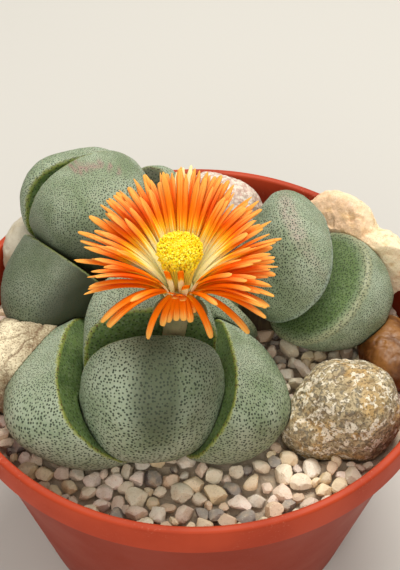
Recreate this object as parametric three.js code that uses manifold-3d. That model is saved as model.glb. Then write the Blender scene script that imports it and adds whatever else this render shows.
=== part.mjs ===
// Potted split rock: three leaf-pair succulents, one in flower, in a shallow plastic pot
// with potting mix, pebbles and stones.
// Millimetres, +Z up. The origin is the middle of the pot's underside, where it stands.

import * as THREE from 'three';
import { mergeVertices } from 'three/addons/utils/BufferGeometryUtils.js';
import Module from 'manifold-3d';

const wasm = await Module();
wasm.setup();

// Clearance left between neighbouring pieces
const GAP = 0.3;

// Pot
const POT_HEIGHT = 95;
const RIM_RADIUS = 85;
const RIM_WIDTH = 2.8;
const COLLAR_HEIGHT = 11;
const COLLAR_STEP = 3.2;
const WALL = 2.2;
const BASE_RADIUS = 62;
const FLOOR_TOP = 5.2;
const FOOT_HEIGHT = 3;
const FOOT_WIDTH = 7;
const PAD_RADIUS = 34;
const DRAFT = 1;
const EDGE_ROUND = 1.2;
const FLOOR_CORNER = 1.5;
const DRAIN_HOLES = 8;
const DRAIN_RADIUS = 4.5;
const DRAIN_CIRCLE = 44;
const DRAIN_SIDES = 10;
const POT_SIDES = 36;

// Fillings, by the height of their tops
const SOIL_TOP = 69;
const GRAVEL_TOP = 79;
const PEBBLE_SPACING = 12;
const PEBBLE_RADIUS = [7, 8.4];
const PEBBLE_SHAPE = [1, 0.8, 0.55];
const PEBBLE_TILT = 0.4;
const PEBBLE_EDGE = 5.5;
const PEBBLE_MARGIN = 1;
const PEBBLE_TRIES = 900;

// Leaves: each pair grows from a base point along a leaning axis, turned about it.
// A leaf is half an egg: a flat inner face, with its widest point at reach from the
// base, and a domed outer face of the given depth.
const LEAF_SIDES = 20;
const LEAF_RINGS = 6;
const DOME_SHARE = 2 / 3;
const LEAF_DOME = 2.2;
const FACE_BULGE = 0.4;

const LEAF_PAIRS = [
  {
    base: [-17.5, -34, 80], lean: [0.19, 0.14], turn: -8, apart: 3, leaves: [
      { name: 'leaf_a_front', side: 1, open: 4, reach: 24.5, half: 23, tip: 23, foot: 25.5,
        depth: 22.5, chin: 0, twist: -5, square: 2.7 },
      { name: 'leaf_a_back', side: -1, open: 4, reach: 30.5, half: 21.7, tip: 16.7, foot: 30.5,
        depth: 28, chin: 0.28, twist: -3, square: 2.7 },
    ],
  },
  {
    base: [-12, -32, 79], lean: [-0.06, 0.12], turn: 86, apart: 6, leaves: [
      { name: 'leaf_a_left', side: 1, open: 34.5, reach: 29.5, half: 31, tip: 15, foot: 29.5,
        depth: 30, chin: 0.17, twist: -9, square: 2.25 },
      { name: 'leaf_a_right', side: -1, open: 33, reach: 24, half: 27.7, tip: 15, foot: 24,
        depth: 29, chin: 0, twist: -7, square: 2.5 },
    ],
  },
  {
    base: [-42, 41, 97.5], lean: [0.02, 0.08], turn: -34.5, apart: 1, leaves: [
      { name: 'leaf_b_near', side: 1, open: 7, reach: 22, half: 22.6, tip: 20, foot: 21.5,
        depth: 30, chin: 0, twist: -1, square: 2 },
      { name: 'leaf_b_far', side: -1, open: 7, reach: 15, half: 23, tip: 17.6, foot: 15,
        depth: 16, chin: 0.16, twist: 8, square: 2.6 },
    ],
  },
  {
    base: [-34, 34, 83], lean: [0.02, 0], turn: 40.5, apart: 4, leaves: [
      { name: 'leaf_b_outer_left', side: 1, open: 31, reach: 25, half: 20, tip: 18, foot: 25,
        depth: 29.5, chin: 0.08, twist: 1, square: 2.2 },
      { name: 'leaf_b_outer_right', side: -1, open: 34, reach: 25.5, half: 15, tip: 21.5, foot: 25.5,
        depth: 15, chin: 0.24, twist: 3, square: 2 },
    ],
  },
  {
    base: [23.3, 17.5, 87.5], lean: [1.08, 0.05], turn: 88, apart: 1, leaves: [
      { name: 'leaf_c_upper', side: 1, open: 8.6, reach: 24.5, half: 25.8, tip: 14.8, foot: 25.5,
        depth: 20.7, chin: 0.3, twist: -7.4, square: 2.1 },
      { name: 'leaf_c_lower', side: -1, open: 8.3, reach: 22, half: 24.4, tip: 21.5, foot: 20.3,
        depth: 23.6, chin: 0.37, twist: 8.8, square: 2 },
    ],
  },
  {
    base: [14.5, 19.5, 80], lean: [0.3, 0], turn: 40, apart: 2, leaves: [
      { name: 'leaf_c_outer_near', side: 1, open: 36, reach: 17, half: 15, tip: 12, foot: 17,
        depth: 15, chin: 0.1, twist: 0, square: 2.2 },
      { name: 'leaf_c_outer_far', side: -1, open: 36, reach: 17, half: 16, tip: 12, foot: 17,
        depth: 15, chin: 0.1, twist: 0, square: 2.2 },
    ],
  },
];

// Roots: a short stem under the leaves, tapering to a taproot, from tip to top. The taper
// holds the radius at each share of the length; from the last one up it is the neck's.
const ROOTS = [
  { name: 'root_a', tip: [-12, -28, 24], top: [-16.5, -33, 83], neck: 9 },
  { name: 'root_b', tip: [-30, 28, 24], top: [-41.5, 40, 101], neck: 8 },
  { name: 'root_c', tip: [14, 14, 24], top: [24, 18, 89], neck: 8 },
];
const ROOT_TAPER = [[1.2, 0], [2.6, 0.25], [5.2, 0.55]];
const ROOT_SHOULDER = 0.8;
const ROOT_SIDES = 8;

// Stones: lobes of one rounded lump each, by centre, half sizes and turn about Z
const STONE_SIDES = 12;
const STONE_RINGS = 8;
const STONE_SQUARE = 2.4;
const STONE_ROUGHNESS = 0.025;
const STONES = [
  { name: 'stone_back', color: 0xd8cfc6, lobes: [
    { at: [9, 61.5, 89], half: [18.5, 13.5, 19], turn: -30 },
  ] },
  { name: 'stone_sand', color: 0xe6c79b, lobes: [
    { at: [55, 42, 93], half: [18.5, 12.5, 20], turn: -45 },
    { at: [69, 25, 91], half: [15, 9.5, 15], turn: -70 },
  ] },
  { name: 'stone_brown', color: 0xa5642f, lobes: [
    { at: [67.5, -4.5, 85.5], half: [10.5, 16, 8.5], turn: 8 },
  ] },
  { name: 'stone_granite', color: 0xb9ab8b, lobes: [
    { at: [51, -31, 87.5], half: [18.5, 15.5, 16.5], turn: -30 },
    { at: [40, -35, 82.5], half: [12, 11, 10.5], turn: 0 },
  ] },
  { name: 'stone_beige', color: 0xcdb48d, lobes: [
    { at: [-57, -12, 86.5], half: [21, 18, 15], turn: -6 },
  ] },
  { name: 'stone_cream', color: 0xd9cdbb, lobes: [
    { at: [-57.5, 39.5, 92], half: [14, 14, 14.5], turn: -15 },
  ] },
];

// Flower: a funnel of strap petals round a dome of stamens, on a stalk out of the cleft
const STALK_FOOT = [-14.6, -33.8, 83.6];
const STALK_MID = [-7.2, -28.4, 118];
const FLOWER_AT = [-4.5, -26, 137.5];
const STALK_RADIUS = 4.3;
const STALK_SIDES = 12;
const RECEPTACLE_RADIUS = 6.4;
const RECEPTACLE_HEIGHT = 5;
const SEPALS = 5;
const SEPAL = { length: 10, width: 6, thickness: 1.6, rise: 22, fall: -6 };
const PETAL_THICKNESS = 0.7;
const PETAL_STEPS = 2;
const HUB = [[0, 0.3], [5.6, 0.3], [5.6, 1.6], [3.8, 2.6], [0, 2.6]];
const HUB_HEIGHT = 2.6;
const HUB_SIDES = 16;
const PETAL_LAYERS = [
  { count: 24, length: 32, width: 4.1, rise: 52, fall: 4, lift: 0.9, start: 4.6 },
  { count: 24, length: 32, width: 3.9, rise: 58, fall: 12, lift: 1.4, start: 4.3 },
  { count: 24, length: 30, width: 3.7, rise: 64, fall: 20, lift: 2, start: 4 },
  { count: 8, length: 18, width: 2.4, rise: 76, fall: 50, lift: 2.2, start: 3.9 },
];
const BACK_RISE = 14;
const BACK_GAIN = 0.08;
const FRONT_DROOP = 12;
const FRONT_LOSS = 0.1;
const STAMEN_CORE = [[0, 0], [2.2, 0], [2.6, 5], [5.6, 12], [6.6, 14.6], [6, 17], [3.4, 18.6], [0, 19]];
const STAMEN_SIDES = 12;
const ANTHERS = 30;
const ANTHER_RADIUS = 1.1;
const ANTHER_REACH = 6.4;
const ANTHER_TOP = 18.8;
const ANTHER_FALL = 3.9;

// Colours and roughness, by material
const FINISH = {
  pot: [0xb4472c, 0.45],
  petals: [0xff7a1a, 0.5],
  stamens: [0xf7d21e, 0.7],
  stalk: [0x8f8a6c, 0.6],
  leaf: [0x9aa68e, 0.6],
  root: [0x8a6a48, 0.9],
  gravel: [0xb09a80, 0.85],
  soil: [0x4a3a2c, 0.95],
};
const STONE_FINISH = 0.8;

const Z_AXIS = new THREE.Vector3(0, 0, 1);
const GOLDEN_ANGLE = Math.PI * (3 - Math.sqrt(5));

// Seeded draw: the same number from 0 to 1 for the same pair of whole numbers
function draw(index, salt) {
  const wave = Math.sin(index * 12.9898 + salt * 78.233) * 43758.5453;
  return wave - Math.floor(wave);
}

function radians(degrees) {
  return degrees * Math.PI / 180;
}

// Solids

function toSolid(geometry) {
  const plain = geometry.clone();
  for (const name of Object.keys(plain.attributes)) {
    if (name !== 'position') plain.deleteAttribute(name);
  }
  const merged = mergeVertices(plain, 1e-4);
  const points = merged.attributes.position;
  const index = merged.index.array;
  const triangles = [];
  for (let i = 0; i < index.length; i += 3) {
    const [a, b, c] = [index[i], index[i + 1], index[i + 2]];
    if (a !== b && b !== c && c !== a) triangles.push(a, b, c);
  }
  if (signedVolume(points, triangles) < 0) {
    for (let i = 0; i < triangles.length; i += 3) {
      [triangles[i], triangles[i + 1]] = [triangles[i + 1], triangles[i]];
    }
  }
  return new wasm.Manifold(new wasm.Mesh({
    numProp: 3,
    vertProperties: new Float32Array(points.array),
    triVerts: new Uint32Array(triangles),
  }));
}

function signedVolume(points, triangles) {
  const [a, b, c] = [new THREE.Vector3(), new THREE.Vector3(), new THREE.Vector3()];
  let sum = 0;
  for (let i = 0; i < triangles.length; i += 3) {
    a.fromBufferAttribute(points, triangles[i]);
    b.fromBufferAttribute(points, triangles[i + 1]);
    c.fromBufferAttribute(points, triangles[i + 2]);
    sum += a.dot(b.cross(c));
  }
  return sum;
}

function largestBody(solid) {
  const bodies = solid.decompose();
  bodies.sort((a, b) => b.volume() - a.volume());
  return bodies[0];
}

function toMesh(name, solid, color, roughness) {
  const data = solid.getMesh();
  const geometry = new THREE.BufferGeometry();
  geometry.setAttribute('position', new THREE.BufferAttribute(new Float32Array(data.vertProperties), 3));
  geometry.setIndex(new THREE.BufferAttribute(new Uint32Array(data.triVerts), 1));
  const mesh = new THREE.Mesh(geometry, new THREE.MeshStandardMaterial({ color, roughness, metalness: 0 }));
  mesh.name = name;
  return mesh;
}

// Moves every vertex of a geometry by a function of its own position
function reshape(geometry, place) {
  const points = geometry.attributes.position;
  const at = new THREE.Vector3();
  for (let i = 0; i < points.count; i += 1) {
    at.fromBufferAttribute(points, i);
    const moved = place(at);
    points.setXYZ(i, moved.x, moved.y, moved.z);
  }
  return geometry;
}

function lathe(profile, sides) {
  const points = profile.map(([r, z]) => new THREE.Vector2(r, z));
  return new THREE.LatheGeometry(points, sides).rotateX(Math.PI / 2);
}

// Pot

function innerRadius(z) {
  const top = RIM_RADIUS - COLLAR_STEP - WALL;
  const slope = (top - (BASE_RADIUS - WALL)) / (POT_HEIGHT - COLLAR_HEIGHT);
  return BASE_RADIUS - WALL + slope * z;
}

function potSolid() {
  const collarFoot = POT_HEIGHT - COLLAR_HEIGHT;
  const lip = RIM_RADIUS - RIM_WIDTH;
  const footInside = BASE_RADIUS - FOOT_WIDTH;
  let pot = toSolid(lathe([
    [0, 0],
    [PAD_RADIUS, 0],
    [PAD_RADIUS + DRAFT, FOOT_HEIGHT],
    [footInside - DRAFT, FOOT_HEIGHT],
    [footInside, 0],
    [BASE_RADIUS - EDGE_ROUND, 0],
    [BASE_RADIUS, EDGE_ROUND],
    [innerRadius(collarFoot) + WALL, collarFoot],
    [RIM_RADIUS - EDGE_ROUND / 2, collarFoot],
    [RIM_RADIUS, collarFoot + EDGE_ROUND],
    [RIM_RADIUS, POT_HEIGHT - EDGE_ROUND],
    [RIM_RADIUS - RIM_WIDTH / 2, POT_HEIGHT],
    [lip, POT_HEIGHT - EDGE_ROUND],
    [innerRadius(collarFoot), collarFoot],
    [innerRadius(FLOOR_TOP + FLOOR_CORNER), FLOOR_TOP + FLOOR_CORNER],
    [innerRadius(FLOOR_TOP) - FLOOR_CORNER, FLOOR_TOP],
    [0, FLOOR_TOP],
  ], POT_SIDES));
  for (let i = 0; i < DRAIN_HOLES; i += 1) {
    const angle = 2 * Math.PI * (i + 0.5) / DRAIN_HOLES;
    const drill = new THREE.CylinderGeometry(DRAIN_RADIUS, DRAIN_RADIUS, 4 * FLOOR_TOP, DRAIN_SIDES);
    drill.rotateX(Math.PI / 2);
    drill.translate(DRAIN_CIRCLE * Math.cos(angle), DRAIN_CIRCLE * Math.sin(angle), 0);
    pot = pot.subtract(toSolid(drill));
  }
  return pot;
}

// The room inside the pot, open above its rim
function roomSolid() {
  const rim = POT_HEIGHT + GAP;
  return toSolid(lathe([
    [0, FLOOR_TOP + GAP],
    [innerRadius(FLOOR_TOP) - FLOOR_CORNER - GAP, FLOOR_TOP + GAP],
    [innerRadius(FLOOR_TOP + FLOOR_CORNER) - GAP, FLOOR_TOP + FLOOR_CORNER],
    [innerRadius(POT_HEIGHT - COLLAR_HEIGHT) - GAP, POT_HEIGHT - COLLAR_HEIGHT],
    [RIM_RADIUS - RIM_WIDTH - GAP, POT_HEIGHT - EDGE_ROUND],
    [RIM_RADIUS - RIM_WIDTH - GAP, rim],
    [2 * RIM_RADIUS, rim],
    [2 * RIM_RADIUS, 3 * POT_HEIGHT],
    [0, 3 * POT_HEIGHT],
  ], POT_SIDES));
}

// Leaves

// The leaf's own axes: across its width, along it to the tip, and out of its domed face
function leafFrame(pair, leaf) {
  const axis = new THREE.Vector3(pair.lean[0], pair.lean[1], 1).normalize();
  const front = new THREE.Vector3(0, -1, 0);
  front.addScaledVector(axis, -front.dot(axis)).normalize();
  const out = front.clone().applyAxisAngle(axis, -radians(pair.turn));
  const across = out.clone().cross(axis);
  const open = radians(leaf.open);
  const along = axis.clone().multiplyScalar(Math.cos(open))
    .addScaledVector(out, leaf.side * Math.sin(open));
  const outward = out.clone().multiplyScalar(leaf.side * Math.cos(open))
    .addScaledVector(axis, -Math.sin(open));
  const twist = radians(leaf.twist);
  const turnedAcross = across.clone().multiplyScalar(Math.cos(twist))
    .addScaledVector(along, Math.sin(twist));
  const turnedAlong = along.clone().multiplyScalar(Math.cos(twist))
    .addScaledVector(across, -Math.sin(twist));
  const centre = new THREE.Vector3(...pair.base)
    .addScaledVector(turnedAlong, leaf.reach)
    .addScaledVector(outward, pair.apart);
  return { centre, across: turnedAcross, along: turnedAlong, outward };
}

function leafSolid(pair, leaf, grow = 0) {
  const frame = leafFrame(pair, leaf);
  const half = leaf.half + grow;
  const depth = leaf.depth + 2 * grow;
  const ball = new THREE.SphereGeometry(1, LEAF_SIDES, LEAF_RINGS);
  return toSolid(reshape(ball, (at) => {
    const ringSize = Math.hypot(at.x, at.z);
    const polar = Math.atan2(ringSize, at.y);
    const domed = polar < DOME_SHARE * Math.PI + 1e-3;
    const rho = Math.min(1, domed
      ? Math.sin(polar * 0.5 / DOME_SHARE)
      : Math.sin((Math.PI - polar) * 0.5 / (1 - DOME_SHARE)));
    const x = ringSize > 1e-6 ? at.x / ringSize : 0;
    const z = ringSize > 1e-6 ? at.z / ringSize : 0;
    const size = ringSize > 1e-6
      ? (Math.abs(x) ** leaf.square + Math.abs(z) ** leaf.square) ** (-1 / leaf.square) : 0;
    const length = (z > 0 ? leaf.tip : leaf.foot) + grow;
    const height = domed
      ? depth * (1 - rho ** LEAF_DOME) ** (1 / LEAF_DOME)
      : -FACE_BULGE * (1 - rho * rho);
    const chin = domed ? leaf.chin * height : 0;
    return frame.centre.clone()
      .addScaledVector(frame.across, half * x * size * rho)
      .addScaledVector(frame.along, length * z * size * rho + chin)
      .addScaledVector(frame.outward, height - grow);
  }));
}

// True where a point lies inside the leaf or within a margin of it
function insideLeaf(pair, leaf, point, margin) {
  const frame = leafFrame(pair, leaf);
  const offset = point.clone().sub(frame.centre);
  const height = offset.dot(frame.outward);
  if (height < -margin || height > leaf.depth + margin) return false;
  const level = Math.min(1, Math.max(0, height / leaf.depth));
  const rho = (1 - level ** LEAF_DOME) ** (1 / LEAF_DOME);
  const x = Math.abs(offset.dot(frame.across)) / (leaf.half * rho + margin);
  const along = offset.dot(frame.along) - leaf.chin * height;
  const z = Math.abs(along) / ((along > 0 ? leaf.tip : leaf.foot) * rho + margin);
  return x ** leaf.square + z ** leaf.square < 1;
}

// Roots

function rootSolid(root, grow = 0) {
  const tip = new THREE.Vector3(...root.tip);
  const top = new THREE.Vector3(...root.top);
  const length = tip.distanceTo(top);
  const geometry = lathe([
    [0, -2 * grow],
    ...ROOT_TAPER.map(([radius, share]) => [radius + grow, share * length]),
    [root.neck + grow, ROOT_SHOULDER * length],
    [root.neck + grow, length],
    [0, length],
  ], ROOT_SIDES);
  const turn = new THREE.Quaternion().setFromUnitVectors(Z_AXIS, top.clone().sub(tip).normalize());
  return toSolid(geometry.applyQuaternion(turn).translate(tip.x, tip.y, tip.z));
}

// Stones

// Low dents and swellings that make a stone uneven, as a share of its size
function unevenness(direction, seed) {
  const a = Math.sin(2.3 * direction.x + 4.1 * draw(seed, 1) + 1.7 * direction.y);
  const b = Math.sin(2.9 * direction.y + 5.3 * draw(seed, 2) + 2.1 * direction.z);
  const c = Math.sin(3.4 * direction.z + 6.1 * draw(seed, 3) + 2.6 * direction.x);
  return 1 + STONE_ROUGHNESS * (a + b + c);
}

function lobeSolid(lobe, seed, grow) {
  const ball = new THREE.SphereGeometry(1, STONE_SIDES, STONE_RINGS).rotateX(Math.PI / 2);
  reshape(ball, (at) => {
    const size = (Math.abs(at.x) ** STONE_SQUARE + Math.abs(at.y) ** STONE_SQUARE
      + Math.abs(at.z) ** STONE_SQUARE) ** (-1 / STONE_SQUARE) * unevenness(at, seed);
    return new THREE.Vector3(
      at.x * (size * lobe.half[0] + grow),
      at.y * (size * lobe.half[1] + grow),
      at.z * (size * lobe.half[2] + grow),
    );
  });
  return toSolid(ball.rotateZ(radians(lobe.turn)).translate(...lobe.at));
}

function stoneSolid(stone, seed, grow = 0) {
  return stone.lobes.map((lobe) => lobeSolid(lobe, seed, grow)).reduce((a, b) => a.add(b));
}

function insideStone(stone, point, margin) {
  return stone.lobes.some((lobe) => {
    const offset = point.clone().sub(new THREE.Vector3(...lobe.at))
      .applyAxisAngle(Z_AXIS, -radians(lobe.turn));
    const [x, y, z] = [0, 1, 2].map((k) => Math.abs(offset.getComponent(k)) / (lobe.half[k] + margin));
    return x ** STONE_SQUARE + y ** STONE_SQUARE + z ** STONE_SQUARE < 1;
  });
}

// Flower

// A flat strap that leaves the flower's axis at one slope and bends to another at its tip
function strapSolid(strap, angle, grow = 0) {
  const thickness = strap.thickness + 2 * grow;
  const box = new THREE.BoxGeometry(1, thickness, 1, 1, 1, strap.steps);
  const outward = new THREE.Vector3(Math.cos(angle), Math.sin(angle), 0);
  const sideways = new THREE.Vector3(-Math.sin(angle), Math.cos(angle), 0);
  return toSolid(reshape(box, (at) => {
    const t = at.z + 0.5;
    const slope = radians(strap.rise + (strap.fall - strap.rise) * t);
    const [run, climb] = strapPoint(strap, t);
    const width = strapWidth(strap, t) + 2 * grow;
    return new THREE.Vector3(...FLOWER_AT)
      .addScaledVector(outward, strap.start + run - at.y * Math.sin(slope))
      .addScaledVector(sideways, at.x * width)
      .addScaledVector(Z_AXIS, strap.lift + climb + at.y * Math.cos(slope));
  }));
}

// How far out and up the strap's middle line has come at a share t of its length
function strapPoint(strap, t) {
  const from = radians(strap.rise);
  const bend = radians(strap.fall - strap.rise);
  const run = strap.length * (Math.sin(from + bend * t) - Math.sin(from)) / bend;
  const climb = strap.length * (Math.cos(from) - Math.cos(from + bend * t)) / bend;
  return [run, climb];
}

function strapWidth(strap, t) {
  const swell = 0.3 + 0.7 * Math.min(1, 1.6 * t);
  const point = t < 1 ? 1 : 0.5;
  return strap.width * swell * point;
}

// The petals of one layer: petals at the back stand more upright than those in front
function petalStraps(layer, layerIndex) {
  const straps = [];
  for (let i = 0; i < layer.count; i += 1) {
    const key = 100 * layerIndex + i;
    const angle = 2 * Math.PI * (i + layerIndex / 3 + 0.3 * (draw(key, 4) - 0.5)) / layer.count;
    const back = Math.max(0, Math.sin(angle));
    const front = Math.max(0, -Math.sin(angle));
    straps.push({
      angle,
      start: layer.start,
      lift: layer.lift,
      length: layer.length * (0.9 + 0.16 * draw(key, 5) + BACK_GAIN * back - FRONT_LOSS * front),
      width: layer.width * (0.85 + 0.3 * draw(key, 6)),
      thickness: PETAL_THICKNESS,
      steps: PETAL_STEPS,
      rise: layer.rise + BACK_RISE * back + 6 * (draw(key, 7) - 0.5),
      fall: layer.fall + BACK_RISE * back - FRONT_DROOP * front + 14 * (draw(key, 8) - 0.5),
    });
  }
  return straps;
}

function petalsSolid() {
  let petals = toSolid(lathe(HUB, HUB_SIDES).translate(...FLOWER_AT));
  PETAL_LAYERS.forEach((layer, layerIndex) => {
    for (const strap of petalStraps(layer, layerIndex)) {
      petals = petals.add(strapSolid(strap, strap.angle));
    }
  });
  return petals;
}

function stamenSolid() {
  const foot = new THREE.Vector3(...FLOWER_AT).addScaledVector(Z_AXIS, HUB_HEIGHT + GAP);
  let stamens = toSolid(lathe(STAMEN_CORE, STAMEN_SIDES).translate(foot.x, foot.y, foot.z));
  for (let i = 0; i < ANTHERS; i += 1) {
    const angle = i * GOLDEN_ANGLE;
    const share = (i + 0.5) / ANTHERS;
    const radius = ANTHER_REACH * Math.sqrt(share);
    const height = ANTHER_TOP - ANTHER_FALL * share ** 2;
    const anther = new THREE.OctahedronGeometry(ANTHER_RADIUS);
    anther.translate(radius * Math.cos(angle), radius * Math.sin(angle), height);
    stamens = stamens.add(toSolid(anther.translate(foot.x, foot.y, foot.z)));
  }
  return stamens;
}

function stalkSolid(grow = 0) {
  const line = new THREE.CatmullRomCurve3(
    [STALK_FOOT, STALK_MID, FLOWER_AT].map((point) => new THREE.Vector3(...point)),
  );
  const stem = new THREE.CylinderGeometry(STALK_RADIUS + grow, STALK_RADIUS + grow, 1, STALK_SIDES, 6);
  reshape(stem, (at) => {
    const middle = line.getPoint(at.y + 0.5);
    return middle.add(new THREE.Vector3(at.x, -at.z, 0));
  });
  const cup = lathe([
    [0, -RECEPTACLE_HEIGHT],
    [STALK_RADIUS, -RECEPTACLE_HEIGHT],
    [RECEPTACLE_RADIUS, -1],
    [RECEPTACLE_RADIUS, 0],
    [0, 0],
  ], STALK_SIDES).translate(...FLOWER_AT);
  let stalk = toSolid(stem).add(toSolid(cup));
  if (grow > 0) return stalk;
  for (let i = 0; i < SEPALS; i += 1) {
    const sepal = { ...SEPAL, start: RECEPTACLE_RADIUS - 2.5, lift: -1.6, steps: 2 };
    stalk = stalk.add(strapSolid(sepal, 2 * Math.PI * (i + 0.25) / SEPALS));
  }
  return stalk;
}

// Fillings

function pebbleSpots(isCovered) {
  const spots = [];
  for (let i = 0; i < PEBBLE_TRIES; i += 1) {
    const radius = (innerRadius(GRAVEL_TOP) - PEBBLE_EDGE) * Math.sqrt(draw(i, 11));
    const angle = 2 * Math.PI * draw(i, 12);
    const spot = new THREE.Vector3(radius * Math.cos(angle), radius * Math.sin(angle), GRAVEL_TOP);
    const crowded = spots.some((other) => other.distanceTo(spot) < PEBBLE_SPACING);
    if (!crowded && !isCovered(spot)) spots.push(spot);
  }
  return spots;
}

function gravelSolid(isCovered) {
  const bottom = SOIL_TOP + GAP;
  let gravel = toSolid(lathe([
    [0, bottom],
    [innerRadius(bottom) - GAP, bottom],
    [innerRadius(GRAVEL_TOP) - GAP, GRAVEL_TOP],
    [0, GRAVEL_TOP],
  ], POT_SIDES));
  pebbleSpots(isCovered).forEach((spot, i) => {
    const radius = PEBBLE_RADIUS[0] + (PEBBLE_RADIUS[1] - PEBBLE_RADIUS[0]) * draw(i, 13);
    const pebble = new THREE.IcosahedronGeometry(radius)
      .scale(...PEBBLE_SHAPE)
      .rotateX(PEBBLE_TILT * (draw(i, 14) - 0.5))
      .rotateZ(2 * Math.PI * draw(i, 15))
      .translate(spot.x, spot.y, spot.z);
    gravel = gravel.add(toSolid(pebble));
  });
  return gravel;
}

function soilSolid() {
  return toSolid(lathe([
    [0, FLOOR_TOP + GAP],
    [innerRadius(FLOOR_TOP) - FLOOR_CORNER - GAP, FLOOR_TOP + GAP],
    [innerRadius(FLOOR_TOP + FLOOR_CORNER) - GAP, FLOOR_TOP + FLOOR_CORNER],
    [innerRadius(SOIL_TOP) - GAP, SOIL_TOP],
    [0, SOIL_TOP],
  ], POT_SIDES));
}

// Assembly: every piece is cut clear of the ones made before it, so the inner leaves
// press into the outer ones, and leaves, stones and roots press into the fillings

const group = new THREE.Group();
group.name = 'potted_split_rock';
const placed = [];

function add(name, solid, finish, grown) {
  let clear = solid;
  for (const other of placed) clear = clear.subtract(other);
  group.add(toMesh(name, largestBody(clear), ...finish));
  if (grown) placed.push(grown);
}

function covered(spot) {
  const underLeaf = LEAF_PAIRS.some((pair) => pair.leaves.some(
    (leaf) => insideLeaf(pair, leaf, spot, PEBBLE_MARGIN)));
  return underLeaf || STONES.some((stone) => insideStone(stone, spot, PEBBLE_MARGIN));
}

add('pot', potSolid(), FINISH.pot);
add('flower_petals', petalsSolid(), FINISH.petals);
add('flower_stamens', stamenSolid(), FINISH.stamens);
add('flower_stalk', stalkSolid(), FINISH.stalk, stalkSolid(GAP));

for (const pair of LEAF_PAIRS) {
  for (const leaf of pair.leaves) {
    add(leaf.name, leafSolid(pair, leaf), FINISH.leaf, leafSolid(pair, leaf, GAP));
  }
}
for (const root of ROOTS) {
  add(root.name, rootSolid(root), FINISH.root, rootSolid(root, GAP));
}
const room = roomSolid();
STONES.forEach((stone, seed) => {
  const solid = stoneSolid(stone, seed).intersect(room);
  add(stone.name, solid, [stone.color, STONE_FINISH], stoneSolid(stone, seed, GAP));
});
add('gravel', gravelSolid(covered).intersect(room), FINISH.gravel);
add('soil', soilSolid(), FINISH.soil);

export default group;
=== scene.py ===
"""Builds a potted split rock in flower: pot, soil, roots, leaves, flower, stones and pebbles."""
import math
from functools import partial

import bmesh
import bpy
import numpy as np
from bpy.props import FloatProperty, FloatVectorProperty, IntProperty, PointerProperty
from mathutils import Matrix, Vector, noise


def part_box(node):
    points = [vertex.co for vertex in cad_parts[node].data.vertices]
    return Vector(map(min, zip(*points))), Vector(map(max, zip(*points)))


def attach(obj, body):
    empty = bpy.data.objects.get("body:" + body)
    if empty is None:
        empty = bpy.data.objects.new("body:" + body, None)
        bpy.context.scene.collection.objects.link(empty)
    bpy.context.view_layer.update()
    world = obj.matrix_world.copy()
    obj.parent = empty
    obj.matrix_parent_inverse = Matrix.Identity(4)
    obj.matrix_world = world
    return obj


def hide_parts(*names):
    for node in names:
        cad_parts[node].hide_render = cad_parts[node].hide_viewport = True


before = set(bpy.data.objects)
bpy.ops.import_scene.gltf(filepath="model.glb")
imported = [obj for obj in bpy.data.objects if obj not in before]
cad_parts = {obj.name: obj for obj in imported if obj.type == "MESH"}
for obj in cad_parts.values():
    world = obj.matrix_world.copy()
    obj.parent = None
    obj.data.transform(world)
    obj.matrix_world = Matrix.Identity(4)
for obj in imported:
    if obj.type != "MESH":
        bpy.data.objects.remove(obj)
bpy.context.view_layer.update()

bl_info = {
    "name": "Potted Split Rock",
    "version": (1, 0, 0),
    "blender": (4, 5, 0),
    "location": "3D View > Sidebar > Split Rock",
    "description": "Builds a potted split rock in flower, with its stones, pebbles and stage",
    "category": "Add Mesh",
}

MM = 0.001
GAP = 0.3

# Pot and fillings, in millimetres
CAD_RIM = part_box("pot")[1][0] / MM
CAD_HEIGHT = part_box("pot")[1][2] / MM
COLLAR_HEIGHT = 11
COLLAR_STEP = 3.2
WALL = 2.2
BASE_RADIUS = 62
FLOOR_TOP = 5.2
FOOT_HEIGHT = 3
FOOT_WIDTH = 7
FOOT_ROUND = 0.5
FLOOR_ROUND = 1.6
WALL_ROUND = 0.7
COLLAR_ROUND = 0.9
LEDGE_ROUND = 2
PAD_RADIUS = 34
DRAFT = 1
DRAIN_HOLES = 8
DRAIN_RADIUS = 4.5
DRAIN_CIRCLE = 44
DRAIN_SIDES = 32
POT_SIDES = 180
# Heights between which the painted shade low on the pot fades out
LOW_SHADE_FADE = (70, 92)
DUST_RISE = (88, 95)
# Depths in from the rim's outer radius where the painted shade on the inner wall is full and where
# it is gone
INNER_SHADE_FADE = (4.4, 3)
SOIL_TOP = 69
SOIL_SIDES = 120
SOIL_STEP = 3
SOIL_RINGS = 18
BED_TOP = 77
BED_SIDES = 220
BED_RINGS = 70
PEBBLE_LEVEL = 79
PEBBLE_TRIES = 9000
PEBBLE_CROWDING = 0.74
PEBBLE_SWELL = 1.18
PEBBLE_CHIPS = 11
PEBBLE_CHIP_DEPTH = 0.42
PEBBLE_SHARPNESS = 60.0

# Relief of the skins: height (of the bark, as a share of its radius) and size of the lumps,
# octaves of detail and seed
LEAF_RELIEF = [(0.55, 14, 2, 0), (0.16, 3.2, 2, 7)]
STONE_RELIEF = [(0.9, 9, 3, 0), (0.38, 1.8, 4, 5)]
BARK_RELIEF = [(0.12, 2.2, 3, 0)]
BED_RELIEF = [(1.1, 2.6, 2, 3)]
SOIL_RELIEF = [(0.8, 3, 3, 9)]

# Search for how far a point has to move to be clear of its neighbours: the step, how often
# the last one is halved, and the farthest moves
CLEAR_STEP = 0.6
CLEAR_HALVINGS = 5
NEAR_REACH = 12
FAR_REACH = 40
BEYOND = 1e3

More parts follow.
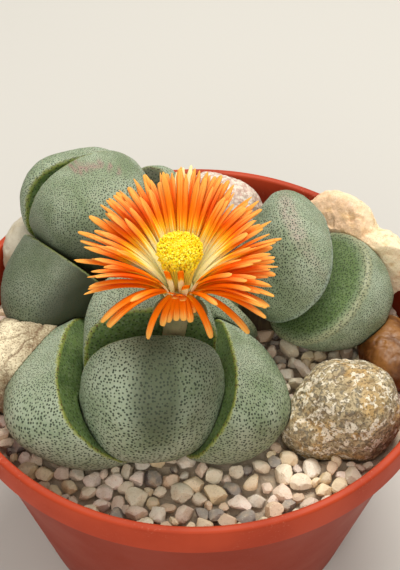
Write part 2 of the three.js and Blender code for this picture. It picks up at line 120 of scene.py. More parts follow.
# Leaf pairs, in millimetres and degrees: each pair grows from a base point along a leaning
# axis, turned about it and apart. Each leaf is half an egg with a flat inner face: it opens
# from the axis, and its middle lies at a reach from the base. It has its half width, heights
# to the tip and to the foot, the dome's depth, how far that rises forward (chin), a twist,
# and how square its outline is
LEAF_DOME = 2.2
FACE_BULGE = 0.4
LEAST_SKIN = 0.6
HEART_HEIGHT = 0.35
FACE_RELIEF = 0.35
WRINKLE_DEPTH = 0.5
WRINKLE_SIZE = 2.6
MARK_EDGE = (0.35, 1.1)
FACE_MAP_RISE = 6
LEAF_SIDES = 128
DOME_RINGS = 44
EDGE_RINGS = 7
FACE_RINGS = 26
DOT_CROWDING = {"a": 0.5, "b": 0.65, "c": 0.85}
LEAF_PAIRS = [
    dict(base=(-17.5, -34, 80), lean=(0.19, 0.14), turn=-8, apart=3, leaves=[
        dict(name="leaf_a_front", side=1, open=4, reach=24.5, half=23, tip=23, foot=25.5,
             depth=22.5, chin=0, twist=-5, square=2.7),
        dict(name="leaf_a_back", side=-1, open=4, reach=30.5, half=21.7, tip=16.7, foot=30.5,
             depth=28, chin=0.28, twist=-3, square=2.7)]),
    dict(base=(-12, -32, 79), lean=(-0.06, 0.12), turn=86, apart=6, leaves=[
        dict(name="leaf_a_left", side=1, open=34.5, reach=29.5, half=31, tip=15, foot=29.5,
             depth=30, chin=0.17, twist=-9, square=2.25),
        dict(name="leaf_a_right", side=-1, open=33, reach=24, half=27.7, tip=15, foot=24,
             depth=29, chin=0, twist=-7, square=2.5)]),
    dict(base=(-42, 41, 97.5), lean=(0.02, 0.08), turn=-34.5, apart=1, leaves=[
        dict(name="leaf_b_near", side=1, open=7, reach=22, half=22.6, tip=20, foot=21.5,
             depth=30, chin=0, twist=-1, square=2),
        dict(name="leaf_b_far", side=-1, open=7, reach=15, half=23, tip=17.6, foot=15,
             depth=16, chin=0.16, twist=8, square=2.6)]),
    dict(base=(-34, 34, 83), lean=(0.02, 0), turn=40.5, apart=4, leaves=[
        dict(name="leaf_b_outer_left", side=1, open=31, reach=25, half=20, tip=18, foot=25,
             depth=29.5, chin=0.08, twist=1, square=2.2),
        dict(name="leaf_b_outer_right", side=-1, open=34, reach=25.5, half=15, tip=21.5,
             foot=25.5, depth=15, chin=0.24, twist=3, square=2)]),
    dict(base=(23.3, 17.5, 87.5), lean=(1.08, 0.05), turn=88, apart=1, leaves=[
        dict(name="leaf_c_upper", side=1, open=8.6, reach=24.5, half=25.8, tip=14.8, foot=25.5,
             depth=20.7, chin=0.3, twist=-7.4, square=2.1),
        dict(name="leaf_c_lower", side=-1, open=8.3, reach=22, half=24.4, tip=21.5, foot=20.3,
             depth=23.6, chin=0.37, twist=8.8, square=2)]),
    dict(base=(14.5, 19.5, 80), lean=(0.3, 0), turn=40, apart=2, leaves=[
        dict(name="leaf_c_outer_near", side=1, open=36, reach=17, half=15, tip=12, foot=17,
             depth=15, chin=0.1, twist=0, square=2.2),
        dict(name="leaf_c_outer_far", side=-1, open=36, reach=17, half=16, tip=12, foot=17,
             depth=15, chin=0.1, twist=0, square=2.2)]),
]

# Marks on single leaves: layer, place on the leaf as shares of its half sizes, across and
# along, the mark's half sizes in the same shares, and its strength. The shade marks are
# painted shade: the flower's shadow across the middle and right of leaf_a_front, the
# shaded lower part of leaf_b_near, and all of leaf_b_outer_left, partly its own olive
# colour and partly the shade under leaf_b_near, darkest at its lower right
STAIN_ARC = [(0.27, 0.955), (0.16, 0.975), (0.04, 0.982), (-0.1, 0.975), (-0.2, 0.94),
             (-0.3, 0.89)]
LEAF_MARKS = {
    "leaf_a_front": [("shade", (0.04, 0.6), (0.5, 1), 0.85),
                     ("shade", (-0.5, 0.7), (0.6, 0.9), 0.5)],
    "leaf_b_near": [("shade", (0.1, -0.2), (1.3, 0.9), 0.9),
                    *[("stain", at, (0.09, 0.014), 0.7) for at in STAIN_ARC]],
    "leaf_b_outer_left": [("shade", (0, 0), (3, 3), 0.52), ("shade", (-1.1, 0.5), (1.2, 1.2), 1)],
    "leaf_c_upper": [("stain", (-0.15, 0.5), (0.9, 0.24), 0.75),
                     ("wrinkle", (-0.05, 0.5), (0.45, 0.22), 1)],
}

# Roots, from tip to top, with the radius at shares of the length and the neck's radius
ROOT_TAPER = [(0, 1.2), (0.25, 2.6), (0.55, 5.2)]
ROOT_SHOULDER = 0.8
ROOT_RINGS = 60
ROOT_SIDES = 48
ROOTS = [
    dict(name="root_a", tip=(-12, -28, 24), top=(-16.5, -33, 83), neck=9),
    dict(name="root_b", tip=(-30, 28, 24), top=(-41.5, 40, 101), neck=8),
    dict(name="root_c", tip=(14, 14, 24), top=(24, 18, 89), neck=8),
]

# Cracks in the beige stone: a point on each, the direction across it, how far it wanders,
# its seed, its width and how far it reaches
BEIGE_CRACKS = [
    ((-56, -12, 101), (0.866, -0.5, 0), 2.2, 3, 0.55, 16),
    ((-62, -11.3, 101), (-0.45, 0.89, 0), 1.6, 8, 0.5, 7),
    ((-62, -20, 100), (0.7, -0.71, 0), 1.8, 12, 0.35, 6),
]

# Stones: lobes by centre, half sizes and turn about Z
STONE_SQUARE = 2.4
LOBE_SPAN = 60.0
LOBE_HALVINGS = 18
LOBE_BLEND = 14.0
CHIP_FACING = 0.2
CHIP_SHARPNESS = 24.0
DENT_DEPTH = 0.8
DENT_SIZE = 3.6
CRACK_DEPTH = 0.6
CRACK_SIZE = 7
STONE_INSET = 0.55
STONES = [
    dict(name="stone_back", slot="pale_granular_stone", detail=7, rough=0.5, chips=9,
         chip_depth=0.05, lobes=[((9, 61.5, 89), (18.5, 13.5, 19), -30)]),
    dict(name="stone_sand", slot="sandstone", detail=7, rough=0.9, chips=4, chip_depth=0.03,
         lobes=[((52.8, 43.2, 94), (16.6, 12.5, 20.8), -45),
                ((67.6, 27.6, 94), (14.2, 9.5, 15.6), -70)]),
    dict(name="stone_brown", slot="brown_stone", detail=6, rough=0.35,
         lobes=[((67.5, -4.5, 85.5), (10.5, 16, 8.5), 8)]),
    dict(name="stone_granite", slot="granite", detail=7, rough=0.7, chips=12, chip_depth=0.05,
         lobes=[((51, -31, 87.5), (18.5, 15.5, 16.5), -30),
                ((40, -35, 82.5), (12, 11, 10.5), 0)]),
    dict(name="stone_beige", slot="beige_stone", detail=7, rough=0.7, chips=8, chip_depth=0.04,
         cracks=BEIGE_CRACKS, lobes=[((-57, -12, 86.5), (21, 18, 15), -6)]),
    dict(name="stone_cream", slot="cream_stone", detail=6, rough=0.5,
         lobes=[((-57.5, 39.5, 92), (14, 14, 14.5), -15)]),
]

# Flower, in millimetres and degrees
STALK_LINE = [(-14.6, -33.8, 83.6), (-7.2, -28.4, 118), (-4.5, -26, 137.5)]
FLOWER_AT = np.array(STALK_LINE[-1], float)
STALK_KNEE = 0.57
STALK_STEPS = 40
STALK_RADIUS = 4.3
RECEPTACLE_RADIUS = 6.4
RECEPTACLE_FOOT = -6.5
HUB_HEIGHT = 2.6
TURNED_SIDES = 48

# Outlines of the receptacle and of the petals' hub, by radius, height and rounding
RECEPTACLE = [(0, RECEPTACLE_FOOT, 0), (STALK_RADIUS * 0.9, RECEPTACLE_FOOT, 0.4),
              (STALK_RADIUS + 0.6, -3.6, 1.5), (RECEPTACLE_RADIUS, -1.2, 1),
              (RECEPTACLE_RADIUS - 0.4, 0, 0.5), (0, 0, 0)]
HUB = [(0, GAP, 0), (5.6, GAP, 0.4), (5.6, 1.6, 0.4), (3.8, HUB_HEIGHT, 0.4), (0, HUB_HEIGHT, 0)]

# Sepals and petals are straps that start at a radius and a height (lift). Their width starts
# at a share of it (waist), is full at one share of the length (swell) and falls off after
# another (tip). They are folded along their middle (channel)
SEPALS = 5
SEPAL = dict(start=RECEPTACLE_RADIUS - 3, lift=-1.5, thickness=1.5, length=10.5, width=6,
             rise=22, fall=-6, sway=0, waist=0.8, swell=0.3, tip=0.25, blunt=0.7, channel=0.25)
SEPAL_STEPS = 12
SEPAL_ACROSS = 8

# Layers of petals: count, length, width, how steeply they start (rise) and end (fall), height
# and radius of their start, and how deep their colour is. In front they leave a gap, at the
# sides a share of them is missing, a few have pale tips, and all stand in loose bunches
PETAL_LAYERS = [
    dict(count=64, length=32, width=2.2, rise=51, fall=3, lift=0.9, start=4.6, tone=0.35),
    dict(count=64, length=31.5, width=2.2, rise=56, fall=11, lift=1.4, start=4.3, tone=0.6),
    dict(count=56, length=29.5, width=2.2, rise=61, fall=19, lift=2.0, start=4.0, tone=0.8),
    dict(count=44, length=25, width=2.2, rise=66, fall=28, lift=2.3, start=3.8, tone=0.5),
]
FRONT_GAP = (206, 321)
PALE_PETALS = {17, 116, 213, 214}
SIDE_GAPS = 0.12
CLUMPS = 13
CLUMPING = 0.045

# Petals that hang in front and short ones that stand before the stamens: direction, length,
# width, rise, fall and how blunt the tip is
FRONT_PETALS = [
    (215, 27.5, 2.6, 45, -35, 0.3), (219.5, 26.0, 2.7, 41, -38, 0.25),
    (227, 21.0, 2.0, 52, 6, 0.7), (239, 19.5, 2.2, 35, -72, 0.5), (248, 13.2, 2.4, 35, -66, 0.35),
    (256, 11.6, 2.3, 37, -62, 0.4), (263, 9.2, 2.1, 54, 22, 0.3), (266, 10.8, 2.4, 38, -56, 0.4),
    (275, 11.0, 2.4, 40, -56, 0.4), (276, 8.6, 2.2, 50, 16, 0.3), (284, 11.4, 2.4, 36, -62, 0.4),
    (293, 8.6, 1.9, 36, -46, 0.5), (298, 19.2, 2.3, 36, -72, 0.4), (305, 18.0, 2.0, 50, 4, 0.7),
    (316, 26.5, 2.3, 37, -38, 0.4), (325, 29, 2.2, 40, -22, 0.5), (330, 29, 2.2, 44, -16, 0.6),
    (334, 30, 2.1, 47, -10, 0.5)]
SHORT_PETALS = [
    (231, 13.6, 2.2, 71, 54, 0.12), (246, 16.0, 2.1, 80, 66, 0.1), (274, 15.4, 1.9, 82, 72, 0.1),
    (283, 10.5, 2.4, 74, 58, 0.15), (309, 14.4, 2.0, 74, 56, 0.3), (256, 9.8, 2.5, 66, 40, 0.15),
    (271, 9.6, 2.5, 64, 38, 0.15)]
SINGLE_STRAP = dict(lift=2.0, waist=0.66, swell=0.5, channel=-0.12)
SINGLE_PETALS = [
    dict(rows=FRONT_PETALS, start=3.4, ripe=(0.5, 1), fade=1.06, tip=0.84),
    dict(rows=SHORT_PETALS, start=5.0, ripe=(-0.45, 1), fade=0.6, tip=0.94),
]

# What petals at the back and in front have more or less than their layer, of the angles and
# of the length
BACK_RISE = 10
BACK_FALL = 4
BACK_GAIN = 0.2
FRONT_DROOP = 12
FRONT_LOSS = 0.1
RIPE_LENGTH = 32

# How widely the straps' angles and their sideways sway, as a share of the length, are spread
RISE_SPREAD = 2
FALL_SPREAD = 14
SWAY_SPREAD = 0.14
TWIST_SPREAD = 40
SINGLE_SWAY = 0.06
SINGLE_TWIST = 16
SEPAL_TWIST = 8

# Steps along and across a petal, and the share of its length where the last ring stands
PETAL_STEPS = 14
PETAL_ACROSS = 6
PETAL_END = 0.985

# Stamens: a core under the anthers, by radius, height and rounding, the turn from one anther
# to the next, in radians, and thin filaments
STAMEN_HEIGHT = 18.2
STAMEN_REACH = 6.1
STAMEN_DROP = 1.8
ANTHER_TURN = math.pi * (3 - math.sqrt(5))
STAMEN_CORE = [(0, 0, 0), (2, 0, 0.3), (2.4, 5, 2), (4.6, 11.2, 2), (5.8, 13.6, 1.5),
               (5.3, 15.6, 1.5), (3, 16.7, 1), (0, 17, 0)]
CORE_SIDES = 40
ANTHER_HALF = (0.25, 0.27, 0.38)
OUTER_ANTHER_HALF = (0.38, 0.4, 0.62)
FILAMENT_RADIUS = 0.17
FILAMENT_STEPS = 7
FILAMENT_SIDES = 5

# Pebbles that show between the leaves and the granite: middle, length, width, height, turn
# about Z and colour
SEEN_PEBBLES = [
    ((24.7, 7.5, 80.5), 8.6, 6.0, 5.0, 60, "clay"),
    ((26.9, 0.1, 80.5), 5.2, 4.4, 4.0, 20, "rose"),
    ((33.7, 0.6, 81.5), 9.2, 5.2, 5.0, -52, "fawn"),
    ((30.2, -3.2, 79.5), 5.0, 3.6, 3.2, -20, "slate"),
    ((34.2, -6.0, 81.5), 4.6, 4.0, 3.6, 10, "grey"),
    ((38.0, -10.0, 81.8), 9.4, 3.9, 3.8, -50, "pink"),
    ((38.6, -6.2, 80.5), 5.6, 4.0, 3.6, -40, "tan"),
    ((39.7, -2.4, 80.8), 5.2, 4.6, 4.0, 40, "honey"),
    ((44.4, -2.0, 80.6), 5.0, 3.8, 3.4, 0, "tan"),
    ((42.6, -8.4, 80.8), 5.6, 4.8, 4.2, -30, "tan"),
    ((31.8, -10.4, 80.8), 5.2, 4.2, 3.8, -60, "grey"),
    ((34.8, -14.6, 81.0), 5.0, 4.4, 4.2, 15, "cream"),
    ((31.4, -16.8, 80.4), 5.4, 2.6, 3.0, 80, "cream"),
    ((53.6, -0.4, 80.8), 5.4, 4.4, 4.0, 30, "rose"),
    ((57.4, -3.6, 80.8), 4.8, 2.8, 3.2, 70, "fawn"),
    ((57.8, 2.4, 81.0), 3.4, 2.6, 2.4, -20, "cream"),
    ((28.6, 4.6, 79.5), 4.6, 3.6, 3.2, 0, "slate"),
    ((29.6, -7.0, 80.0), 4.8, 3.8, 3.4, 40, "rose"),
]

# Camera, in millimetres and degrees
LOOK_AT = (1.5, 19.3, 95)
CAMERA_DISTANCE = 425
CAMERA_RISE = 45
CAMERA_LENS = 74.84
CAMERA_SENSOR = 36

# Lights and floor, in metres: place and width of each light, and the floor's half width
KEY_LIGHT = ((0.12, 0.38, 0.9), 0.55)
FILL_LIGHT = ((-0.1, -0.8, 0.6), 0.8)
FLOOR_REACH = 6


def tint(red, green, blue):
    """The linear colour of a 0 to 255 colour on screen"""
    def linear(value):
        share = value / 255
        return share / 12.92 if share <= 0.04045 else ((share + 0.055) / 1.055) ** 2.4
    return (linear(red), linear(green), linear(blue))


LIGHT_COLOUR = tint(255, 250, 240)
PEBBLE_COLOURS = {
    "clay": tint(222, 188, 156),
    "rose": tint(238, 214, 196),
    "pink": tint(250, 232, 222),
    "fawn": tint(242, 228, 204),
    "tan": tint(242, 220, 184),
    "honey": tint(246, 226, 184),
    "cream": tint(252, 242, 216),
    "grey": tint(236, 228, 214),
    "slate": tint(104, 96, 96),
}


# Settings

def length(name, description, millimetres):
    """A setting for a size"""
    return FloatProperty(name=name, description=description, default=millimetres * MM,
                         min=0, unit="LENGTH", precision=5)


def colour(name, description, *screen):
    """A setting for a colour, given as it looks on screen"""
    return FloatVectorProperty(name=name, description=description, default=tint(*screen),
                               min=0, max=1, subtype="COLOR")


def share(name, description, value):
    """A setting from 0 to 1"""
    return FloatProperty(name=name, description=description, default=value,
                         min=0, max=1, subtype="FACTOR")


def amount(name, description, value, unit="NONE"):
    """A setting for a strength or a power"""
    return FloatProperty(name=name, description=description, default=value, min=0, unit=unit)


def count(name, description, value):
    """A setting for a number of parts"""
    return IntProperty(name=name, description=description, default=value, min=20)


class PotSettings(bpy.types.PropertyGroup):
    height: length("Height", "Height of the pot", 95)
    rim_radius: length("Rim radius", "Outer radius of the rim", 85)
    rim_width: length("Rim width", "Width of the rim's flat top", 2.8)
    edge_round: length("Edge round", "Rounding of the rim's edges", 1.0)
    plastic: colour("Plastic", "Colour of the pot", 184, 64, 28)
    # The deep plastic colour is both the plastic's own blotches and painted shade low on the pot.
    # The inner wall colour is painted shade on the inner wall
    shade: colour("Deep plastic", "Colour of the pot where it is stained", 166, 54, 24)
    inner: colour("Inner wall", "Colour of the inner wall", 120, 36, 14)
    dust: colour("Dust", "Colour of lime and dust on the rim", 214, 150, 122)
    roughness: share("Roughness", "Roughness of the plastic", 0.48)


class LeafSettings(bpy.types.PropertyGroup):
    edge_round: length("Edge round", "Rounding of a leaf's margin", 1.3)
    dot_spacing: length("Dot spacing", "Typical distance between two dots", 1.42)
    dot_radius: length("Dot radius", "Radius of a dot", 0.38)
    bloom: colour("Bloom", "Pale waxy colour of the outer face", 160, 173, 149)
    ground: colour("Ground", "Deeper colour of the outer face", 122, 140, 106)
    dot: colour("Dot", "Colour of the dots", 44, 56, 38)
    margin: colour("Margin", "Colour of the band along the margin", 132, 144, 58)


class FlowerSettings(bpy.types.PropertyGroup):
    petal_thickness: length("Petal thickness", "Thickness at a petal's middle", 0.34)
    tip: colour("Tip", "Colour of the petal tips", 250, 178, 86)
    blade: colour("Blade", "Colour of the petals' upper half", 255, 122, 0)
    # The streak colour also serves as painted shade along the petals' edges
    streak: colour("Streak", "Colour of the petals' deepest patches", 234, 62, 0)
    throat: colour("Throat", "Colour between the blade and the base", 255, 196, 34)
    base: colour("Base", "Colour of the petal bases", 255, 246, 184)
    anther: colour("Anther", "Colour of the anthers", 255, 230, 28)
    anthers: count("Anthers", "Number of anthers", 1000)
    filaments: count("Filaments", "Number of filaments", 300)


class StoneSettings(bpy.types.PropertyGroup):
    chalk: colour("Chalk", "Colour of the pale grains", 232, 222, 208)
    blush: colour("Blush", "Colour of the pink grains", 206, 176, 164)
    sand: colour("Sand", "Colour of the sandstone", 254, 240, 206)
    ochre: colour("Ochre", "Colour of the ochre patches", 206, 160, 82)
    grey: colour("Grey", "Colour of the grey grains", 128, 122, 108)
    amber: colour("Amber", "Colour of the brown stone", 84, 46, 12)
    umber: colour("Umber", "Colour of cracks and dark patches", 104, 74, 48)
    roughness: share("Roughness", "Roughness of the stones", 0.8)


class GravelSettings(bpy.types.PropertyGroup):
    smallest: length("Smallest", "Length of the smallest pebbles", 3.6)
    largest: length("Largest", "Length of the largest pebbles", 8.0)
    bed: colour("Bed", "Colour of the grit between the pebbles", 156, 132, 104)
    mix: colour("Potting mix", "Colour of the potting mix", 62, 46, 34)


class StageSettings(bpy.types.PropertyGroup):
    floor: colour("Floor", "Colour of the floor", 204, 203, 200)
    key_power: amount("Key light", "Power of the large light above", 8, "POWER")
    fill_power: amount("Fill light", "Power of the light in front", 4, "POWER")
    sky: amount("Sky", "Strength of the light from all round", 0.46)


class SplitRockSettings(bpy.types.PropertyGroup):
    pot: PointerProperty(type=PotSettings, name="Pot", description="The pot")
    leaf: PointerProperty(type=LeafSettings, name="Leaves", description="The leaves")
    flower: PointerProperty(type=FlowerSettings, name="Flower", description="The flower")
    stone: PointerProperty(type=StoneSettings, name="Stones", description="The stones")
    gravel: PointerProperty(type=GravelSettings, name="Gravel", description="The fillings")
    stage: PointerProperty(type=StageSettings, name="Stage", description="Floor and lights")


# Meshes

def draw(index, salt):
    """A seeded number from 0 to 1, the same on every run: the salt keeps uses of it apart"""
    wave = math.sin(index * 12.9898 + salt * 78.233) * 43758.5453
    return wave - math.floor(wave)


def vary(index, salt, spread):
    """A seeded number round 0, up to half the spread away from it"""
    return spread * (draw(index, salt) - 0.5)


def smooth(low, high, value):
    """0 below low, 1 above high and smooth between"""
    step = np.clip((np.asarray(value, float) - low) / (high - low), 0, 1)
    return step * step * (3 - 2 * step)


def lumps(points, size, octaves=3, seed=0.0):
    """Fractal noise at each point, with lumps of about the given size in millimetres"""
    shift = Vector((seed, 3.7 * seed, -1.9 * seed))
    return np.array([noise.fractal(Vector(point) / size + shift, 1.0, 2.0, octaves)
                     for point in points])


def relief(points, rows, seed=0):
    """Lumps of several sizes added up, from rows of height, size, octaves and seed"""
    return sum(height * lumps(points, size, octaves, seed + shift)
               for height, size, octaves, shift in rows)


def unit(vector):
    """A vector's direction"""
    return vector / np.linalg.norm(vector)


def circle(sides):
    """Evenly spaced angles round a circle"""
    return 2 * np.pi * np.arange(sides) / sides


def compass(angle):
    """The level direction at an angle, and the one to its left"""
    return (np.array([math.cos(angle), math.sin(angle), 0]),
            np.array([-math.sin(angle), math.cos(angle), 0]))


def boundary(inside, low, high, halvings):
    """Narrows down where a test turns false between low, where it is true, and high"""
    for _ in range(halvings):
        middle = (low + high) / 2
        found = inside(middle)
        low = np.where(found, middle, low)
        high = np.where(found, high, middle)
    return low, high


def add_object(name, data):
    """A new object in the scene"""
    made = bpy.data.objects.new(name, data)
    bpy.context.scene.collection.objects.link(made)
    return made


def turned(points, degrees):
    """Points turned about Z"""
    c, s = math.cos(math.radians(degrees)), math.sin(math.radians(degrees))
    x, y, z = np.moveaxis(np.asarray(points, float), -1, 0)
    return np.stack([c * x - s * y, s * x + c * y, z], -1)


class Batch:
    """Gathers skins, with a value for each point, into one piece"""

    def __init__(self):
        self.points, self.faces, self.layers, self.count = [], [], {}, 0

    def add(self, points, faces, **layers):
        points = np.asarray(points, float).reshape(-1, 3)
        start = self.count
        self.points.append(points)
        self.faces.extend(tuple(start + corner for corner in face) for face in faces)
        for name, values in layers.items():
            shape = (len(points), 3) if name.endswith(("colour", "place")) else (len(points),)
            values = np.broadcast_to(np.array(values, float), shape)
            self.layers.setdefault(name, []).append(values)
        self.count += len(points)

    def add_skin(self, first, rings, last, **layers):
        """A closed skin: a first point, rings of points and a last point"""
        points = np.concatenate([[first], np.asarray(rings).reshape(-1, 3), [last]])
        self.add(points, skin_faces(*np.shape(rings)[:2]), **layers)

    def add_turned(self, profile, sides, at=(0, 0, 0), **layers):
        """A closed body turned about Z, from a profile that starts and ends on its axis"""
        at = np.array(at, float)
        self.add_skin(at + (0, 0, profile[0][1]), lathe_rings(profile[1:-1], sides) + at,
                      at + (0, 0, profile[-1][1]), **layers)

    def piece(self, name):
        """The mesh object, in metres, with smooth faces that point out"""
        mesh = bpy.data.meshes.new(name)
        mesh.from_pydata((np.concatenate(self.points) * MM).tolist(), [], self.faces)
        for layer, parts in self.layers.items():
            values = np.concatenate(parts)
            kind, field = ("FLOAT_VECTOR", "vector") if values.ndim > 1 else ("FLOAT", "value")
            made = mesh.attributes.new(layer, kind, "POINT")
            made.data.foreach_set(field, values.astype(np.float32).ravel())
        shell = bmesh.new()
        shell.from_mesh(mesh)
        bmesh.ops.recalc_face_normals(shell, faces=shell.faces)
        shell.to_mesh(mesh)
        shell.free()
        mesh.polygons.foreach_set("use_smooth", [True] * len(mesh.polygons))
        return add_object(name, mesh)


def skin_faces(rings, sides):
    """Faces of a closed skin: a first point, rings of points and a last point"""
    faces = []
    last = 1 + rings * sides
    for side in range(sides):
        after = (side + 1) % sides
        faces.append((0, 1 + after, 1 + side))
        faces.append((last, last - sides + side, last - sides + after))
        for start in range(1, last - sides, sides):
            above = start + sides
            faces.append((start + side, start + after, above + after, above + side))
    return faces


def lathe_rings(profile, sides):
    """Rings of points about Z, from pairs of radius and height"""
    radius, height = (column[:, None] for column in np.asarray(profile, float).T)
    angle = circle(sides)
    x, y = radius * np.cos(angle), radius * np.sin(angle)
    return np.stack(np.broadcast_arrays(x, y, height), -1)


def rounded(outline, steps=4):
    """An outline of radius, height and rounding, with each corner turned into an arc"""
    points = []
    for i, (radius, height, reach) in enumerate(outline):
        corner = np.array([radius, height])
        if reach == 0 or i in (0, len(outline) - 1):
            points.append(corner)
            continue
        before = np.array(outline[i - 1][:2]) - corner
        after = np.array(outline[i + 1][:2]) - corner
        start = corner + before * min(0.5, reach / np.linalg.norm(before))
        end = corner + after * min(0.5, reach / np.linalg.norm(after))
        for t in np.linspace(0, 1, steps + 1):
            points.append((1 - t) ** 2 * start + 2 * t * (1 - t) * corner + t * t * end)
    return points


def icosphere(detail):
    """Points and faces of a ball of radius 1"""
    ball = bmesh.new()
    bmesh.ops.create_icosphere(ball, subdivisions=detail, radius=1)
    points = np.array([v.co for v in ball.verts])
    faces = [tuple(v.index for v in face.verts) for face in ball.faces]
    ball.free()
    return points, faces


def finish_piece(piece, material, slot, *nodes):
    """Gives a piece its material and its body, and hides the solids that it stands for. The slot
    is not used
    """
    piece.data.materials.append(material)
    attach(piece, "root")
    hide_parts(*nodes)


# Materials

class Shader:
    """Builds the nodes of one material"""

    def __init__(self, name):
        self.material = bpy.data.materials.new(name)
        self.material.use_nodes = True
        self.nodes = self.material.node_tree.nodes
        self.links = self.material.node_tree.links
        self.surface = self.nodes["Principled BSDF"]
        self.place = self.node("ShaderNodeTexCoord", "Object")

    def put(self, socket, value):
        if isinstance(value, bpy.types.NodeSocket):
            self.links.new(value, socket)
        elif socket.type == "RGBA" and len(value) == 3:
            socket.default_value = (*value, 1)
        else:
            socket.default_value = value

    def node(self, kind, output, inputs=(), **settings):
        made = self.nodes.new(kind)
        for key, value in settings.items():
            setattr(made, key, value)
        for key, value in dict(inputs).items():
            self.put(made.inputs[key], value)
        return made.outputs[output]

    def layer(self, name):
        """A value that the mesh carries on its points"""
        return self.node("ShaderNodeAttribute", "Fac", attribute_name=name)

    def layer_vector(self, name):
        """A place or colour that the mesh carries on its points"""
        return self.node("ShaderNodeAttribute", "Vector", attribute_name=name)

    def along(self, axis):
        """The place along one axis, in metres"""
        return self.node("ShaderNodeSeparateXYZ", axis, {0: self.place})

    def noise(self, size, detail=3, distortion=0.0, vector=None):
        """Noise from 0 to 1 with spots of about the given size in millimetres"""
        return self.node("ShaderNodeTexNoise", 0, {
            "Vector": vector or self.place, "Scale": 1 / (size * MM), "Detail": detail,
            "Distortion": distortion})

    def cells(self, size, output="Distance", randomness=1.0):
        """Voronoi cells of about the given size in millimetres"""
        return self.node("ShaderNodeTexVoronoi", output, {
            "Vector": self.place, "Scale": 1 / (size * MM), "Randomness": randomness})

    def grains(self, size):
        """A number for each grain of about the given size in millimetres"""
        return self.node("ShaderNodeSeparateColor", 0, {0: self.cells(size, "Color")})

    def dots(self, place, spacing, radius, randomness=0.8):
        """1 inside round dots on a flat place in millimetres, each of a slightly different size"""
        near = self.node("ShaderNodeTexVoronoi", "Distance", {
            "Vector": place, "Scale": 1 / spacing, "Randomness": randomness},
            voronoi_dimensions="2D")
        own = self.node("ShaderNodeSeparateColor", 0, {0: near.node.outputs["Color"]})
        ratio = radius / spacing
        shift = self.level(own, 0.0, 1.0, -0.22 * ratio, 0.22 * ratio)
        return self.level(self.math("ADD", near, shift), 0.82 * ratio, 1.15 * ratio, 1.0, 0.0)

    def level(self, value, low, high, start=0.0, end=1.0):
        """A value taken smoothly from start at low to end at high"""
        return self.node("ShaderNodeMapRange", 0, {
            "Value": value, "From Min": low, "From Max": high, "To Min": start, "To Max": end},
            interpolation_type="SMOOTHSTEP")

    def math(self, operation, first, second=0.0):
        return self.node("ShaderNodeMath", 0, {0: first, 1: second}, operation=operation)

    def times(self, first, second):
        return self.math("MULTIPLY", first, second)

    def mix(self, factor, first, second):
        """The first colour, turned into the second one by the factor"""
        return self.node("ShaderNodeMix", 2, {0: factor, 6: first, 7: second}, data_type="RGBA")

    def coats(self, base, *coats):
        """Colours laid over a base in turn: each has its colour, the value that places it,
        two levels of that value, and the coat's strength below and above them"""
        for colour, value, (low, high), (start, end) in coats:
            base = self.mix(self.level(value, low, high, start, end), base, colour)
        return base

    def ramp(self, factor, stops):
        """A colour from stops of position and colour"""
        output = self.node("ShaderNodeValToRGB", "Color", {0: factor})
        elements = output.node.color_ramp.elements
        for i, (position, value) in enumerate(stops):
            stop = elements[i] if i < 2 else elements.new(position)
            stop.position = position
            stop.color = (*value[:3], 1)
        return output

    def upward(self):
        """1 where the skin faces straight up, 0 where it is upright"""
        return self.node("ShaderNodeSeparateXYZ", "Z", {
            0: self.node("ShaderNodeNewGeometry", "Normal")})

    def bump(self, height, depth, strength=1.0, before=None):
        """A normal for low relief of the given depth in millimetres"""
        inputs = {"Height": height, "Distance": depth * MM, "Strength": strength}
        if before is not None:
            inputs["Normal"] = before
        return self.node("ShaderNodeBump", 0, inputs)

    def close(self, base, roughness, normal=None, **constants):
        """Connects the surface, with its constant values by name, and returns the material"""
        self.put(self.surface.inputs["Base Color"], base)
        self.put(self.surface.inputs["Roughness"], roughness)
        if normal is not None:
            self.put(self.surface.inputs["Normal"], normal)
        for key, value in constants.items():
            self.put(self.surface.inputs[key.replace("_", " ")], value)
        return self.material


# Pot

def inner_radius(z):
    """Radius of the pot's inner wall, below its collar"""
    top = CAD_RIM - COLLAR_STEP - WALL
    return BASE_RADIUS - WALL + (top - BASE_RADIUS + WALL) * z / (CAD_HEIGHT - COLLAR_HEIGHT)


def pot_profile(height, rim, lip_width, edge):
    """The pot's section, from the middle of its underside round to the middle of its floor"""
    collar = height - COLLAR_HEIGHT
    wall_top = inner_radius(collar)
    foot = BASE_RADIUS - FOOT_WIDTH
    floor = inner_radius(FLOOR_TOP)
    return rounded([
        (0, 0, 0),
        (PAD_RADIUS, 0, FOOT_ROUND),
        (PAD_RADIUS + DRAFT, FOOT_HEIGHT, FOOT_ROUND),
        (foot - DRAFT, FOOT_HEIGHT, FOOT_ROUND),
        (foot, 0, FOOT_ROUND),
        (BASE_RADIUS, 0, FLOOR_ROUND),
        (wall_top + WALL, collar, WALL_ROUND),
        (rim, collar, COLLAR_ROUND),
        (rim, height, edge),
        (rim - lip_width, height, edge),
        (wall_top, collar, LEDGE_ROUND),
        (floor, FLOOR_TOP, FLOOR_ROUND),
        (0, FLOOR_TOP, 0),
    ])


